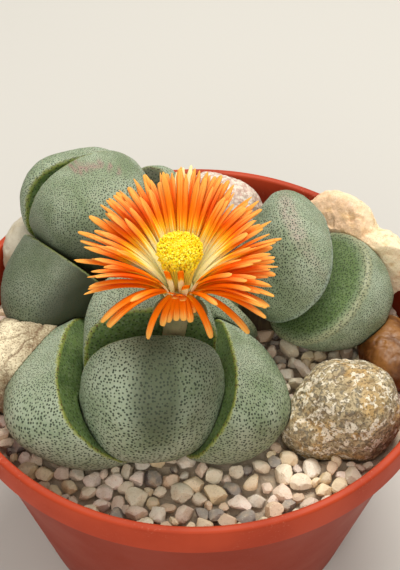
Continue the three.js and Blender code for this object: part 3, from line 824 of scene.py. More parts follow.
def pot_mesh(settings):
    pot = Batch()
    pot.add_turned(pot_profile(settings.height / MM, settings.rim_radius / MM,
                               settings.rim_width / MM, settings.edge_round / MM), POT_SIDES)
    piece = pot.piece("pot_fine")
    low, high = -FLOOR_TOP, 2 * FLOOR_TOP
    bore = [(0, low), (DRAIN_RADIUS, low), (DRAIN_RADIUS, high), (0, high)]
    drills = Batch()
    for i in range(DRAIN_HOLES):
        outward, _ = compass(2 * math.pi * (i + 0.5) / DRAIN_HOLES)
        drills.add_turned(bore, DRAIN_SIDES, DRAIN_CIRCLE * outward)
    drill = drills.piece("drain_drill")
    cut = piece.modifiers.new("Drain", "BOOLEAN")
    cut.operation = "DIFFERENCE"
    cut.solver = "EXACT"
    cut.object = drill
    bpy.context.view_layer.update()
    drained = bpy.data.meshes.new_from_object(
        piece.evaluated_get(bpy.context.evaluated_depsgraph_get()))
    piece.modifiers.clear()
    piece.data = drained
    piece.data.name = "pot_fine"
    bpy.data.objects.remove(drill)
    return piece


def pot_material(settings):
    """Moulded plastic with blotches, painted shade low on the pot and on its inner wall, and lime
    and dust along its rim
    """
    s = Shader("pot_plastic_satin")
    height = s.along("Z")
    patch = s.noise(26, detail=4)
    fleck = s.noise(0.9, detail=4)
    # Painted shade: below the rim the pot turns towards the deep plastic colour
    below = s.level(height, LOW_SHADE_FADE[0] * MM, LOW_SHADE_FADE[1] * MM, 0.35, 0.0)
    base = s.mix(s.level(patch, 0.35, 0.7), settings.plastic, settings.shade)
    base = s.mix(below, base, settings.shade)
    flat = s.node("ShaderNodeVectorMath", "Vector", {0: s.place, 1: (1, 1, 0)},
                  operation="MULTIPLY")
    out = s.node("ShaderNodeVectorMath", "Value", {0: flat}, operation="LENGTH")
    # Painted shade on the inner wall, inside the rim
    start, end = (settings.rim_radius - depth * MM for depth in INNER_SHADE_FADE)
    inside = s.level(out, start, end, 0.6, 0.0)
    base = s.mix(inside, base, settings.inner)
    lime = s.times(s.level(fleck, 0.56, 0.75), s.level(patch, 0.45, 0.62))
    rim = s.level(height, DUST_RISE[0] * MM, DUST_RISE[1] * MM, 0.1, 0.35)
    base = s.mix(s.times(lime, rim), base, settings.dust)
    rough = s.level(patch, 0.3, 0.7, settings.roughness, settings.roughness + 0.14)
    normal = s.bump(s.noise(0.45, detail=2), 0.03, 0.6, s.bump(patch, 0.25, 0.3))
    return s.close(base, rough, normal, Specular_IOR_Level=0.25)


# Leaves

def leaf_frame(pair, leaf):
    """The leaf's middle and its own axes: across, along to the tip and out of its dome"""
    axis = unit(np.array([*pair["lean"], 1.0]))
    front = np.array([0.0, -1.0, 0.0])
    front = unit(front - axis * (front @ axis))
    turn = -math.radians(pair["turn"])
    out = front * math.cos(turn) + np.cross(axis, front) * math.sin(turn)
    across = np.cross(out, axis)
    lean = math.radians(leaf["open"])
    along = math.cos(lean) * axis + leaf["side"] * math.sin(lean) * out
    outward = leaf["side"] * math.cos(lean) * out - math.sin(lean) * axis
    twist = math.radians(leaf["twist"])
    across, along = (math.cos(twist) * across + math.sin(twist) * along,
                     math.cos(twist) * along - math.sin(twist) * across)
    middle = np.array(pair["base"], float) + along * leaf["reach"] + outward * pair["apart"]
    return middle, np.array([across, along, outward])


def dome_height(leaf, rho):
    """Height of the dome over the inner face, at a share of the leaf's outline"""
    return leaf["depth"] * (1 - np.clip(rho, 0, 1) ** LEAF_DOME) ** (1 / LEAF_DOME)


def dome_share(leaf, height):
    """The share of the leaf's outline at a height of its dome"""
    level = np.clip(height / leaf["depth"], 0, 1)
    return (1 - level ** LEAF_DOME) ** (1 / LEAF_DOME)


def in_leaf(pair, leaf, points, grow):
    """True where points lie inside a leaf that is grown by a margin"""
    middle, axes = leaf_frame(pair, leaf)
    x, along, height = ((points - middle) @ axes.T).T
    rho = dome_share(leaf, height)
    along = along - leaf["chin"] * np.clip(height, 0, None)
    reach = np.where(along > 0, leaf["tip"], leaf["foot"])
    x = np.abs(x) / (leaf["half"] * rho + grow)
    z = np.abs(along) / (reach * rho + grow)
    level = (height > -grow) & (height < leaf["depth"] + grow)
    return level & (x ** leaf["square"] + z ** leaf["square"] < 1)


def leaf_rings(leaf, edge_round):
    """Share of the outline, inset and height of each ring, from the dome's top over the
    rounded margin to the middle of the inner face"""
    shoulder = math.acos((edge_round / leaf["depth"]) ** (LEAF_DOME / 2))
    rings = []
    for bow in np.linspace(0, shoulder, DOME_RINGS + 1)[1:]:
        rings.append((math.sin(bow) ** (2 / LEAF_DOME), 0,
                      leaf["depth"] * math.cos(bow) ** (2 / LEAF_DOME)))
    for turn in np.linspace(0, math.pi / 2, EDGE_RINGS + 2)[1:]:
        height = edge_round * (1 - math.sin(turn))
        rings.append((float(dome_share(leaf, height)), edge_round * (1 - math.cos(turn)), height))
    for bow in np.linspace(0, math.pi / 2, FACE_RINGS + 2)[1:-1]:
        rho = math.cos(bow)
        rings.append((rho, edge_round * rho, -FACE_BULGE * (1 - rho * rho)))
    return np.array(rings)


def clearance(points, directions, blocked, reach):
    """How far each point has to go along its direction to be clear of what blocks it"""
    found = np.zeros(len(points))
    stuck = np.flatnonzero(blocked(points))
    for far in np.arange(CLEAR_STEP, reach, CLEAR_STEP):
        if not len(stuck):
            break
        free = ~blocked(points[stuck] + directions[stuck] * far)
        done = stuck[free]
        start, way = points[done], directions[done]
        _, found[done] = boundary(lambda reached: blocked(start + way * reached[:, None]),
                                  np.full(len(done), far - CLEAR_STEP),
                                  np.full(len(done), far), CLEAR_HALVINGS)
        stuck = stuck[~free]
    found[stuck] = reach
    return found


def leaf_marks(leaf, share_x, share_z, outer):
    """Strength of the leaf's soft oval marks at each point of its outer face, by layer"""
    marks = dict.fromkeys(("stain", "shade", "wrinkle"), np.zeros(len(outer)))
    for layer, at, half, strength in LEAF_MARKS.get(leaf["name"], []):
        off = np.hypot((share_x - at[0]) / half[0], (share_z - at[1]) / half[1])
        mark = strength * (1 - smooth(*MARK_EDGE, off)) * outer
        marks[layer] = np.maximum(marks[layer], mark)
    return marks


def place_layer(places):
    """Places of a skin's rings as a layer, with the skin's first and last point in their middle"""
    flat = np.concatenate([[(0, 0)], places.reshape(-1, 2), [(0, 0)]])
    return np.concatenate([flat, np.zeros((len(flat), 1))], 1)


def dome_map(local, depth, crowding):
    """Flat places for the dome's dots: nearly true at its top, and finer towards its margin"""
    across = np.hypot(local[..., 0], local[..., 1])
    steps = np.linalg.norm(np.diff(local, axis=0), axis=-1)
    first = np.hypot(across[0], depth - local[0, :, 2])
    run = np.concatenate([[first], first + np.cumsum(steps, axis=0)])
    true_growth = steps / ((across[1:] + across[:-1]) / 2)
    plain_growth = np.diff(np.log(run), axis=0)
    growth = crowding * true_growth + (1 - crowding) * plain_growth
    reach = first * np.exp(np.concatenate([np.zeros((1, len(first))), np.cumsum(growth, axis=0)]))
    return local[..., :2] / across[..., None] * np.minimum(reach, BEYOND)[..., None]


def leaf_outline(leaf, rings):
    """Rings of points on a leaf that doesn't lean forward, in its own axes, with each
    point's place as shares of the leaf's half sizes"""
    rho, inset, height = (column[:, None] for column in rings.T)
    turn = circle(LEAF_SIDES)
    x, z = np.cos(turn), np.sin(turn)
    size = (np.abs(x) ** leaf["square"] + np.abs(z) ** leaf["square"]) ** (-1 / leaf["square"])
    ends = np.where(z > 0, leaf["tip"], leaf["foot"])
    flat_x = leaf["half"] * x * size * rho
    flat_z = ends * z * size * rho
    shrink = 1 - inset / np.maximum(np.hypot(flat_x, flat_z), 1e-6)
    local = np.stack(np.broadcast_arrays(flat_x * shrink, flat_z * shrink, height), -1)
    return local, (flat_x / leaf["half"]).ravel(), (flat_z / ends).ravel()


def leaf_mesh(pair, leaf, seed, settings):
    rings = leaf_rings(leaf, settings.edge_round / MM)
    local, share_x, share_z = leaf_outline(leaf, rings)
    steps = np.linalg.norm(np.diff(local, axis=0), axis=-1)
    run = np.concatenate([np.zeros((1, LEAF_SIDES)), np.cumsum(steps, axis=0)])
    crest = DOME_RINGS + EDGE_RINGS // 2
    from_margin = run[crest] - run
    outer = from_margin.ravel() > 0
    dome_place = dome_map(local, leaf["depth"], DOT_CROWDING[leaf["name"].split("_")[1]])
    across = np.hypot(local[..., 0], local[..., 1])
    face_rise = np.clip(local[..., 2], 0, FACE_MAP_RISE)
    face_place = local[..., :2] * (1 + face_rise / across)[..., None]
    local[..., 1] += leaf["chin"] * np.clip(local[..., 2], 0, None)

    marks = leaf_marks(leaf, share_x, share_z, outer)
    flat = local.reshape(-1, 3)
    lift = np.array([0, leaf["chin"], 1.0])
    away = flat - lift * leaf["depth"] * HEART_HEIGHT
    away /= np.linalg.norm(away, axis=1)[:, None]
    creases = smooth(0.0, 0.5, lumps(flat, WRINKLE_SIZE, 3, seed + 3))
    swell = relief(flat, LEAF_RELIEF, seed) - WRINKLE_DEPTH * marks["wrinkle"] * creases
    flat = flat + away * (swell * np.where(outer, 1, FACE_RELIEF))[:, None]

    middle, axes = leaf_frame(pair, leaf)
    points = middle + flat @ axes
    blocked = blocked_by(leaf["name"])
    inward = -(away @ axes)
    upward = np.broadcast_to(lift @ axes, points.shape)
    room = np.repeat(dome_height(leaf, rings[:, 0]) - LEAST_SKIN - rings[:, 2], LEAF_SIDES)
    give_in = clearance(points, inward, blocked, NEAR_REACH)
    give_up = np.minimum(clearance(points, upward, blocked, FAR_REACH), np.clip(room, 0, None))
    points = points + np.where(outer[:, None], inward * give_in[:, None],
                               upward * give_up[:, None])

    first = middle + lift * leaf["depth"] @ axes
    last = points[-LEAF_SIDES:].mean(axis=0)
    layers = {name: np.concatenate([marks[name][:1], marks[name], [0]])
              for name in ("stain", "shade")}
    layers["from_margin"] = np.concatenate([[run[crest].mean()], from_margin.ravel(),
                                            [from_margin.min()]])
    layers["dome_place"] = place_layer(dome_place)
    layers["face_place"] = place_layer(face_place)
    batch = Batch()
    batch.add_skin(first, points.reshape(-1, LEAF_SIDES, 3), last, **layers)
    return batch.piece(leaf["name"] + "_fine")


def leaf_material(name, settings, look):
    """Waxy leaf skin: pale and dotted outside, greener inside, with a coloured margin, stains and
    painted shade where the leaf marks lie
    """
    s = Shader(name)
    edge = s.layer("from_margin")
    large = s.noise(11, detail=4)
    grain = s.noise(0.8, detail=3)
    spacing = settings.dot_spacing / MM * look["dots"]
    radius = settings.dot_radius / MM * look["dots"]
    dots = s.dots(s.layer_vector("dome_place"), spacing, radius)
    outer = s.coats(settings.bloom, (settings.ground, large, (0.3, 0.72), (0.0, 1.0)),
                    (look["wax"], grain, (0.4, 0.75), look["waxy"]))
    # Painted shade: the shade marks turn the outer face towards the look's shade colour
    outer = s.mix(s.times(s.layer("shade"), 0.94), outer, look["shade"])
    patch = s.level(s.noise(2.2, detail=4), 0.34, 0.62, 0.45, 1.0)
    outer = s.mix(s.times(s.layer("stain"), patch), outer, look["stain"])

    inner_dots = s.dots(s.layer_vector("face_place"), look["face_spacing"], look["face_dots"], 0.9)
    inner = s.coats(look["face"], (look["face_deep"], large, (0.35, 0.7), (0.0, 1.0)),
                    (look["wax"], grain, (0.4, 0.8), (0.0, 0.25)))

    wobble = s.level(s.noise(1.6, detail=3), 0.25, 0.75, -0.35, 0.35)
    place = s.math("ADD", edge, wobble)
    band = s.times(s.level(place, -look["band"], -0.5 * look["band"]),
                   s.level(place, -0.2, look["band_out"], 1.0, 0.0))
    inner = s.mix(s.times(band, look["band_weight"]), inner, settings.margin)
    dash = s.times(s.level(place, -1.15, -0.8), s.level(place, -0.45, -0.2, 1.0, 0.0))
    dash = s.times(dash, s.level(s.cells(1.1, randomness=0.8), 0.3, 0.42, 1.0, 0.0))
    inner = s.mix(s.times(dash, look["dashes"]), inner, tint(92, 48, 34))
    skin = s.mix(s.level(place, *look["face_turn"]), inner, outer)
    wide = look["line_width"]
    line = s.times(s.level(place, -wide, 0.0), s.level(place, 0.25 * wide, wide, 1.0, 0.0))
    skin = s.mix(s.times(line, look["line"]), skin, look["line_colour"])
    on_dome = s.level(place, *look["dots_turn"])
    skin = s.mix(s.times(s.times(dots, on_dome), 0.96), skin, settings.dot)
    on_face = s.math("SUBTRACT", 1.0, on_dome)
    skin = s.mix(s.times(s.times(inner_dots, on_face), 0.75), skin, look["face_dot"])
    rough = s.level(edge, -0.5, 0.5, 0.5, 0.62)
    height = s.math("SUBTRACT", grain, s.times(dots, 0.5))
    normal = s.bump(height, 0.06, 0.5, s.bump(s.noise(3.5, detail=3), 0.35, 0.35))
    return s.close(skin, rough, normal, Subsurface_Weight=0.08, Subsurface_Scale=0.0015)


# Looks of the plants' skins and of single leaves. Widths, and the places where the inner
# face's skin and dots turn into the dome's, are in millimetres from the margin, out to the
# dome. Dots are a share of the set size, and the others are strengths and colours. The
# shade colour is painted shade, laid where a leaf's shade marks lie
PLAIN_LOOK = dict(dots_turn=(-0.1, 0.3), face_turn=(-0.25, 0.35), face_dot=tint(34, 50, 26))
LEAF_LOOKS = {
    "a": dict(PLAIN_LOOK, dots=0.92, waxy=(0.1, 0.45), band=1.5, band_weight=0.75, band_out=0.4,
              dashes=0.9, line=0.55, line_width=0.5, face_spacing=1.6, face_dots=0.32,
              wax=tint(184, 198, 176), shade=tint(48, 58, 20), stain=tint(150, 122, 118),
              face=tint(94, 120, 62), face_deep=tint(68, 94, 42), line_colour=tint(164, 170, 104)),
    "b": dict(PLAIN_LOOK, dots=0.76, waxy=(0, 0.25), band=1.6, band_weight=0.6, band_out=0.5,
              dashes=0.5, line=0.4, line_width=0.6, face_spacing=1.3, face_dots=0.3,
              wax=tint(172, 180, 166), shade=tint(38, 42, 14), stain=tint(160, 112, 116),
              face=tint(86, 112, 56), face_deep=tint(66, 90, 42), line_colour=tint(146, 150, 98)),
    # Look c's wide dark line along the margin is partly the leaf's own brownish line and partly
    # painted shade that tones down the highlight on the rounded edge
    "c": dict(dots=0.68, waxy=(0.05, 0.3), band=2.6, band_weight=0.2, band_out=1.0,
              dashes=0.0, line=0.45, line_width=2.4, face_spacing=1.02, face_dots=0.29,
              wax=tint(168, 180, 160), shade=tint(88, 106, 70), stain=tint(164, 148, 138),
              face=tint(102, 126, 76), face_deep=tint(84, 108, 58), line_colour=tint(142, 136, 96),
              dots_turn=(1.4, 2.2), face_turn=(-5, 0.8), face_dot=tint(36, 50, 28)),
}
LEAF_LOOKS["a_left"] = dict(LEAF_LOOKS["a"], dots=1.12)
LEAF_LOOKS["a_right"] = dict(LEAF_LOOKS["a_left"], waxy=(0, 0.3))
LEAF_LOOKS["c_upper"] = dict(LEAF_LOOKS["c"], line=0.6, line_colour=tint(150, 168, 158))
LEAF_LOOKS["b_outer_right"] = dict(LEAF_LOOKS["b"], band_weight=0.2, face=tint(134, 136, 116),
                                   face_deep=tint(112, 116, 96))


# Roots

def root_mesh(root, seed):
    tip, top = np.array(root["tip"], float), np.array(root["top"], float)
    span = np.linalg.norm(top - tip)
    axis = (top - tip) / span
    side = unit(np.cross(axis, (0, 1, 0)))
    shares, radii = zip(*ROOT_TAPER, (ROOT_SHOULDER, root["neck"]), (1, root["neck"]))
    t = np.linspace(0, 1, ROOT_RINGS)[:, None]
    turn = circle(ROOT_SIDES)
    radius = np.interp(t, shares, radii)
    x, y, z = np.broadcast_arrays(radius * np.cos(turn), radius * np.sin(turn), t * span)
    stretched = np.stack([x, y, 0.3 * z], -1).reshape(-1, 3)
    bark = 1 + relief(stretched, BARK_RELIEF, seed).reshape(x.shape)
    rings = (tip + side * (x * bark)[..., None] + np.cross(axis, side) * (y * bark)[..., None]
             + axis * z[..., None])
    flat = rings.reshape(-1, 3)
    down = np.broadcast_to(-axis, flat.shape)
    flat = flat + down * clearance(flat, down, blocked_by("stone_back"), FAR_REACH)[:, None]
    batch = Batch()
    batch.add_skin(tip, flat.reshape(rings.shape), flat[-ROOT_SIDES:].mean(axis=0))
    return batch.piece(root["name"] + "_fine")


def root_material(settings):
    """Corky brown bark with lengthwise cracks"""
    s = Shader("root_corky_bark")
    stretched = s.node("ShaderNodeMapping", 0, {"Vector": s.place, "Scale": (1, 1, 0.25)})
    cracks = s.noise(1.8, detail=5, vector=stretched)
    base = s.mix(s.level(cracks, 0.35, 0.65), settings.mix, tint(84, 70, 46))
    return s.close(base, 0.9, s.bump(cracks, 0.6))


# Stones

def in_stone(stone, points, grow):
    """True where points lie inside a stone that is grown by a margin"""
    inside = np.zeros(len(points), bool)
    for at, half, turn in stone["lobes"]:
        local = np.abs(turned(points - np.array(at), -turn)) / (np.array(half) + grow)
        inside |= (local ** STONE_SQUARE).sum(axis=1) < 1
    return inside


def lobe_reach(lobe, start, directions):
    """How far a lobe reaches from a start inside it, along each direction"""
    at, half, turn = lobe

    def inside(reached):
        local = np.abs(turned(start + directions * reached[:, None] - np.array(at), -turn))
        return ((local / np.array(half)) ** STONE_SQUARE).sum(axis=1) < 1

    reach, _ = boundary(inside, np.zeros(len(directions)), np.full(len(directions), LOBE_SPAN),
                        LOBE_HALVINGS)
    return reach


def chipped(directions, reach, count, depth, seed, sharp=CHIP_SHARPNESS):
    """Reach along each direction after flat chips are knocked off, with rather soft edges"""
    nearest = reach ** -sharp
    for i in range(count):
        height = 2 * draw(i, seed + 1) - 1
        around = 2 * math.pi * draw(i, seed + 2)
        level = math.sqrt(1 - height * height)
        normal = np.array([level * math.cos(around), level * math.sin(around), height])
        facing = directions @ normal
        there = reach[np.argmax(facing)] * (1 - depth * (0.4 + 0.6 * draw(i, seed + 3)))
        cut = np.where(facing > CHIP_FACING, there / np.maximum(facing, CHIP_FACING), BEYOND)
        nearest += cut ** -sharp
    return nearest ** (-1 / sharp)


def crack_depth(crack, points):
    """How deep a crack is at each point, as a share of its full depth"""
    at, across, wander, seed, width, reach = crack
    offset = points - np.array(at)
    away = np.abs(offset @ np.array(across) + wander * lumps(points, CRACK_SIZE, 3, seed))
    far = np.linalg.norm(offset, axis=1) / reach
    return (1 - smooth(0.15 * width, width, away)) * (1 - smooth(0.6, 1, far))


def stone_mesh(stone, seed):
    directions, faces = icosphere(stone["detail"])
    start = np.mean([at for at, _, _ in stone["lobes"]], axis=0)
    reach = np.array([lobe_reach(lobe, start, directions) for lobe in stone["lobes"]])
    reach = (reach ** LOBE_BLEND).sum(axis=0) ** (1 / LOBE_BLEND)
    if "chips" in stone:
        reach = chipped(directions, reach, stone["chips"], stone["chip_depth"], 31 + 7 * seed)
    points = start + directions * reach[:, None]
    rough = stone["rough"]
    dents = rough * DENT_DEPTH * smooth(0.1, 0.6, lumps(points, DENT_SIZE, 2, seed + 11))
    cracks = np.max([np.zeros(len(points)),
                     *[crack_depth(crack, points) for crack in stone.get("cracks", [])]], axis=0)
    reach = (reach + rough * relief(points, STONE_RELIEF, seed) - dents - STONE_INSET * rough
             - CRACK_DEPTH * cracks)
    points = start + directions * reach[:, None]
    give = clearance(points, -directions, blocked_by(stone["name"]), NEAR_REACH)
    points -= directions * give[:, None]
    radius = np.hypot(points[:, 0], points[:, 1])
    z = points[:, 2]
    wall = inner_radius(np.minimum(z, CAD_HEIGHT - COLLAR_HEIGHT)) - GAP
    limit = np.where(z > CAD_HEIGHT + GAP, radius, wall)
    points[:, :2] *= np.minimum(1, limit / radius)[:, None]
    batch = Batch()
    batch.add(points, faces, crack=cracks, dent=dents)
    return batch.piece(stone["name"] + "_fine")


def pale_stone_material(settings):
    """Whitish and pinkish grains, like coarse quartz"""
    s = Shader("stone_pale_grains")
    seams = s.cells(1.2)
    large = s.noise(8, detail=4)
    fine = s.noise(0.5, detail=3)
    base = s.coats(settings.chalk, (settings.blush, s.grains(1.2), (0.3, 0.8), (0.0, 1.0)),
                   (settings.blush, large, (0.45, 0.75), (0.0, 0.6)),
                   (tint(150, 122, 104), seams, (0.5, 0.75), (0.0, 0.35)),
                   (tint(120, 96, 80), fine, (0.6, 0.8), (0.0, 0.5)))
    return s.close(base, settings.roughness, s.bump(fine, 0.25, 0.8, s.bump(seams, 0.35, 0.5)))


def sandstone_material(settings):
    """Pale yellow sandstone with pink and ochre patches"""
    s = Shader("stone_sandy")
    large = s.noise(15, detail=4, distortion=0.4)
    middle = s.noise(4, detail=4)
    fine = s.noise(0.55, detail=3)
    rosy = s.times(s.level(large, 0.36, 0.56), s.level(s.along("X"), 56 * MM, 68 * MM, 1.0, 0.25))
    base = s.mix(rosy, settings.sand, tint(242, 204, 168))
    base = s.coats(base, (tint(226, 186, 122), middle, (0.52, 0.72), (0.0, 0.5)),
                   (settings.chalk, middle, (0.22, 0.4), (0.55, 0.0)),
                   (tint(196, 152, 106), fine, (0.5, 0.68), (0.0, 0.4)),
                   (tint(252, 240, 214), fine, (0.25, 0.42), (0.6, 0.0)))
    base = s.mix(s.times(s.layer("dent"), 0.4), base, tint(190, 150, 102))
    return s.close(base, settings.roughness, s.bump(fine, 0.22, 0.8, s.bump(middle, 0.5, 0.5)))


def brown_stone_material(settings):
    """Brown stone with a slight polish, golden and lighter on top, darker towards the bottom and
    in places
    """
    s = Shader("stone_polished_brown")
    large = s.noise(12, detail=4, distortion=0.8)
    fine = s.noise(1.2, detail=4)
    # By height alone, the stone turns darker towards the bottom and golden and lighter on top
    height = s.along("Z")
    base = s.coats(settings.amber, (tint(132, 84, 36), large, (0.38, 0.66), (0.0, 1.0)),
                   (tint(92, 46, 16), large, (0.3, 0.42), (0.6, 0.0)),
                   (tint(122, 52, 12), height, (83 * MM, 91 * MM), (0.8, 0.0)))
    golden = s.times(s.level(height, 88 * MM, 97 * MM), s.level(large, 0.4, 0.6))
    base = s.mix(s.times(golden, 0.4), base, tint(160, 112, 50))
    base = s.coats(base, (tint(108, 60, 26), fine, (0.5, 0.75), (0.0, 0.45)),
                   (tint(172, 118, 62), s.noise(2.6, detail=4), (0.58, 0.74), (0.0, 0.35)))
    return s.close(base, s.level(fine, 0.3, 0.7, 0.36, 0.54),
                   s.bump(fine, 0.1, 0.6, s.bump(s.noise(4, detail=3), 0.5, 0.6)),
                   Specular_IOR_Level=0.35)


def granite_material(settings):
    """Mottled grey and white grains with ochre stains"""
    s = Shader("stone_mottled_granite")
    grains = s.grains(1.1)
    large = s.noise(9, detail=5, distortion=0.5)
    fine = s.noise(0.7, detail=5)
    patches = s.noise(4.5, detail=5, distortion=0.4)
    quartz = s.math("ADD", s.noise(1.5, detail=7, distortion=0.5),
                    s.level(patches, 0.34, 0.62, 0.14, -0.1))
    base = s.coats(tint(188, 172, 138), (tint(146, 130, 98), grains, (0.35, 0.6), (0.0, 1.0)),
                   (settings.grey, grains, (0.72, 0.85), (0.0, 0.7)),
                   (settings.ochre, large, (0.48, 0.64), (0.0, 0.5)),
                   (tint(240, 232, 212), quartz, (0.39, 0.47), (0.85, 0.0)),
                   (tint(88, 78, 56), fine, (0.52, 0.64), (0.0, 0.75)),
                   (tint(226, 210, 172), fine, (0.26, 0.36), (0.4, 0.0)))
    base = s.mix(s.times(s.layer("dent"), 0.5), base, settings.umber)
    return s.close(base, settings.roughness, s.bump(fine, 0.28, 0.9, s.bump(large, 0.6, 0.4)))


def beige_stone_material(settings):
    """Beige stone, brown in its cracks and hollows, with a painted highlight on its top towards
    the left
    """
    s = Shader("stone_beige_cracked")
    large = s.noise(13, detail=4)
    middle = s.noise(3.4, detail=5)
    fine = s.noise(0.6, detail=3)
    base = s.coats(tint(172, 162, 132), (tint(148, 132, 102), large, (0.4, 0.64), (0.0, 1.0)),
                   (tint(122, 100, 70), middle, (0.48, 0.66), (0.0, 0.75)),
                   (tint(220, 210, 180), middle, (0.27, 0.42), (0.45, 0.0)))
    # Painted highlight: a pale patch on the stone's top, strongest towards its left
    lit = s.times(s.level(s.along("Z"), 96 * MM, 101 * MM),
                  s.level(s.along("X"), -64 * MM, -54 * MM, 0.9, 0.1))
    base = s.mix(lit, base, tint(246, 234, 202))
    base = s.coats(base, (settings.umber, fine, (0.52, 0.6), (0.0, 0.6)),
                   (tint(226, 218, 192), fine, (0.34, 0.43), (0.5, 0.0)))
    for layer, weight in (("dent", 0.45), ("crack", 0.6)):
        base = s.mix(s.times(s.layer(layer), weight), base, settings.umber)
    return s.close(base, settings.roughness, s.bump(fine, 0.25, 0.8, s.bump(middle, 0.6, 0.5)))


def cream_stone_material(settings):
    """Cream-white stone with faint ochre clouds"""
    s = Shader("stone_cream_white")
    large = s.noise(10, detail=4)
    fine = s.noise(0.7, detail=4)
    base = s.coats(tint(208, 200, 182), (tint(180, 164, 132), large, (0.4, 0.7), (0.0, 1.0)),
                   (tint(164, 140, 108), fine, (0.56, 0.76), (0.0, 0.45)))
    return s.close(base, settings.roughness, s.bump(fine, 0.25, 0.8, s.bump(large, 0.5, 0.4)))


STONE_MATERIALS = {
    "stone_back": pale_stone_material,
    "stone_sand": sandstone_material,
    "stone_brown": brown_stone_material,
    "stone_granite": granite_material,
    "stone_beige": beige_stone_material,
    "stone_cream": cream_stone_material,
}


# Flower

def stalk_point(t):
    """A point on the stalk's middle line, at a share of its length"""
    foot, middle, top = (np.array(point, float) for point in STALK_LINE)
    t = np.asarray(t, float)[..., None]
    return (foot * (t - STALK_KNEE) * (t - 1) / STALK_KNEE
            + middle * t * (t - 1) / (STALK_KNEE * (STALK_KNEE - 1))
            + top * t * (t - STALK_KNEE) / (1 - STALK_KNEE))


def in_stalk(points, grow):
    """True where points lie inside the stalk, grown by a margin"""
    line = stalk_point(np.linspace(0, 1, STALK_STEPS))
    nearest = np.min([((points - at) ** 2).sum(axis=1) for at in line], axis=0)
    return nearest < (STALK_RADIUS + grow) ** 2


def strap_rings(strap, angle, steps=PETAL_STEPS, across=PETAL_ACROSS):
    """Rings of points round a thin channelled strap that leaves the flower's axis, with
    each point's share of the length and of the half width"""
    t = np.linspace(0, PETAL_END, steps + 1)
    start = math.radians(strap["rise"])
    bend = math.radians(strap["fall"] - strap["rise"])
    slope = start + bend * t
    run = strap["length"] * (np.sin(slope) - math.sin(start)) / bend
    climb = strap["length"] * (math.cos(start) - np.cos(slope)) / bend
    outward, sideways = compass(angle)
    up = np.array([0, 0, 1.0])
    line = (FLOWER_AT + outward * (strap["start"] + run)[:, None]
            + up * (strap["lift"] + climb)[:, None]
            + sideways * (strap["sway"] * strap["length"] * t ** 2)[:, None])
    normal = up * np.cos(slope)[:, None] - outward * np.sin(slope)[:, None]
    twist = math.radians(strap["twist"]) * t ** 2
    side = sideways * np.cos(twist)[:, None] + normal * np.sin(twist)[:, None]
    normal = normal * np.cos(twist)[:, None] - sideways * np.sin(twist)[:, None]
    swell = strap["waist"] + (1 - strap["waist"]) * smooth(0.02, strap["swell"], t)
    beyond = np.clip(t - strap["tip"], 0, 1) / (1 - strap["tip"])
    point = np.clip(1 - beyond ** 2, 0, 1) ** strap["blunt"]
    half = strap["width"] / 2 * swell * point
    u = np.linspace(-1, 1, across + 1)
    u = np.concatenate([u, u[-2:0:-1]])
    face = np.concatenate([np.ones(across + 1), -np.ones(across - 1)])
    skin = face * (1 - 0.75 * u ** 2) * strap["thickness"] / 2
    fold = strap["channel"] * (u ** 2 - 0.5)
    height = half[:, None] * fold + skin * np.minimum(1, 4 * half)[:, None]
    points = (line[:, None] + side[:, None] * (half[:, None] * u)[..., None]
              + normal[:, None] * height[..., None])
    return points, np.broadcast_to(t[:, None], height.shape), np.broadcast_to(u, height.shape)


def add_strap(batch, strap, angle, **layers):
    """One petal, with its share of the length, of the half width and of its ripeness"""
    points, t, u = strap_rings(strap, angle)
    first, last = points[0].mean(axis=0), points[-1].mean(axis=0)
    last = last + (last - points[-2].mean(axis=0)) * 0.25
    t = np.concatenate([[0], t.ravel(), [1]])
    young, grown = strap["ripe"]
    batch.add_skin(first, points, last, t=t * strap["fade"],
                   u=np.concatenate([[0], u.ravel(), [0]]), ripe=young + (grown - young) * t,
                   **layers)


def petal_strap(layer, key, angle, thickness):
    """Measures of one petal: those at the back stand more upright than those in front"""
    back, front = max(0, math.sin(angle)), max(0, -math.sin(angle))
    spread = (0.84 + 0.19 * draw(key, 5) * (1 - back / 2) + BACK_GAIN * back ** 2
              - FRONT_LOSS * front)
    young = 0.45 * float(smooth(0.0, 0.35, front))
    reach = (layer["length"] + 0.75 * (RIPE_LENGTH - layer["length"]) * back ** 2) * spread
    return dict(
        ripe=(young, young + (1 - young) * reach / RIPE_LENGTH), fade=1,
        start=layer["start"], lift=layer["lift"], thickness=thickness,
        length=reach, width=layer["width"] * (0.75 + 0.4 * draw(key, 6)),
        rise=layer["rise"] + BACK_RISE * back + vary(key, 7, RISE_SPREAD),
        fall=layer["fall"] + BACK_FALL * back - FRONT_DROOP * front + vary(key, 8, FALL_SPREAD),
        sway=vary(key, 9, SWAY_SPREAD), twist=vary(key, 10, TWIST_SPREAD),
        waist=0.95, swell=0.3, tip=0.74 + 0.22 * draw(key, 22),
        blunt=0.3 + 0.5 * draw(key, 25), channel=-0.08 - 0.16 * draw(key, 23))


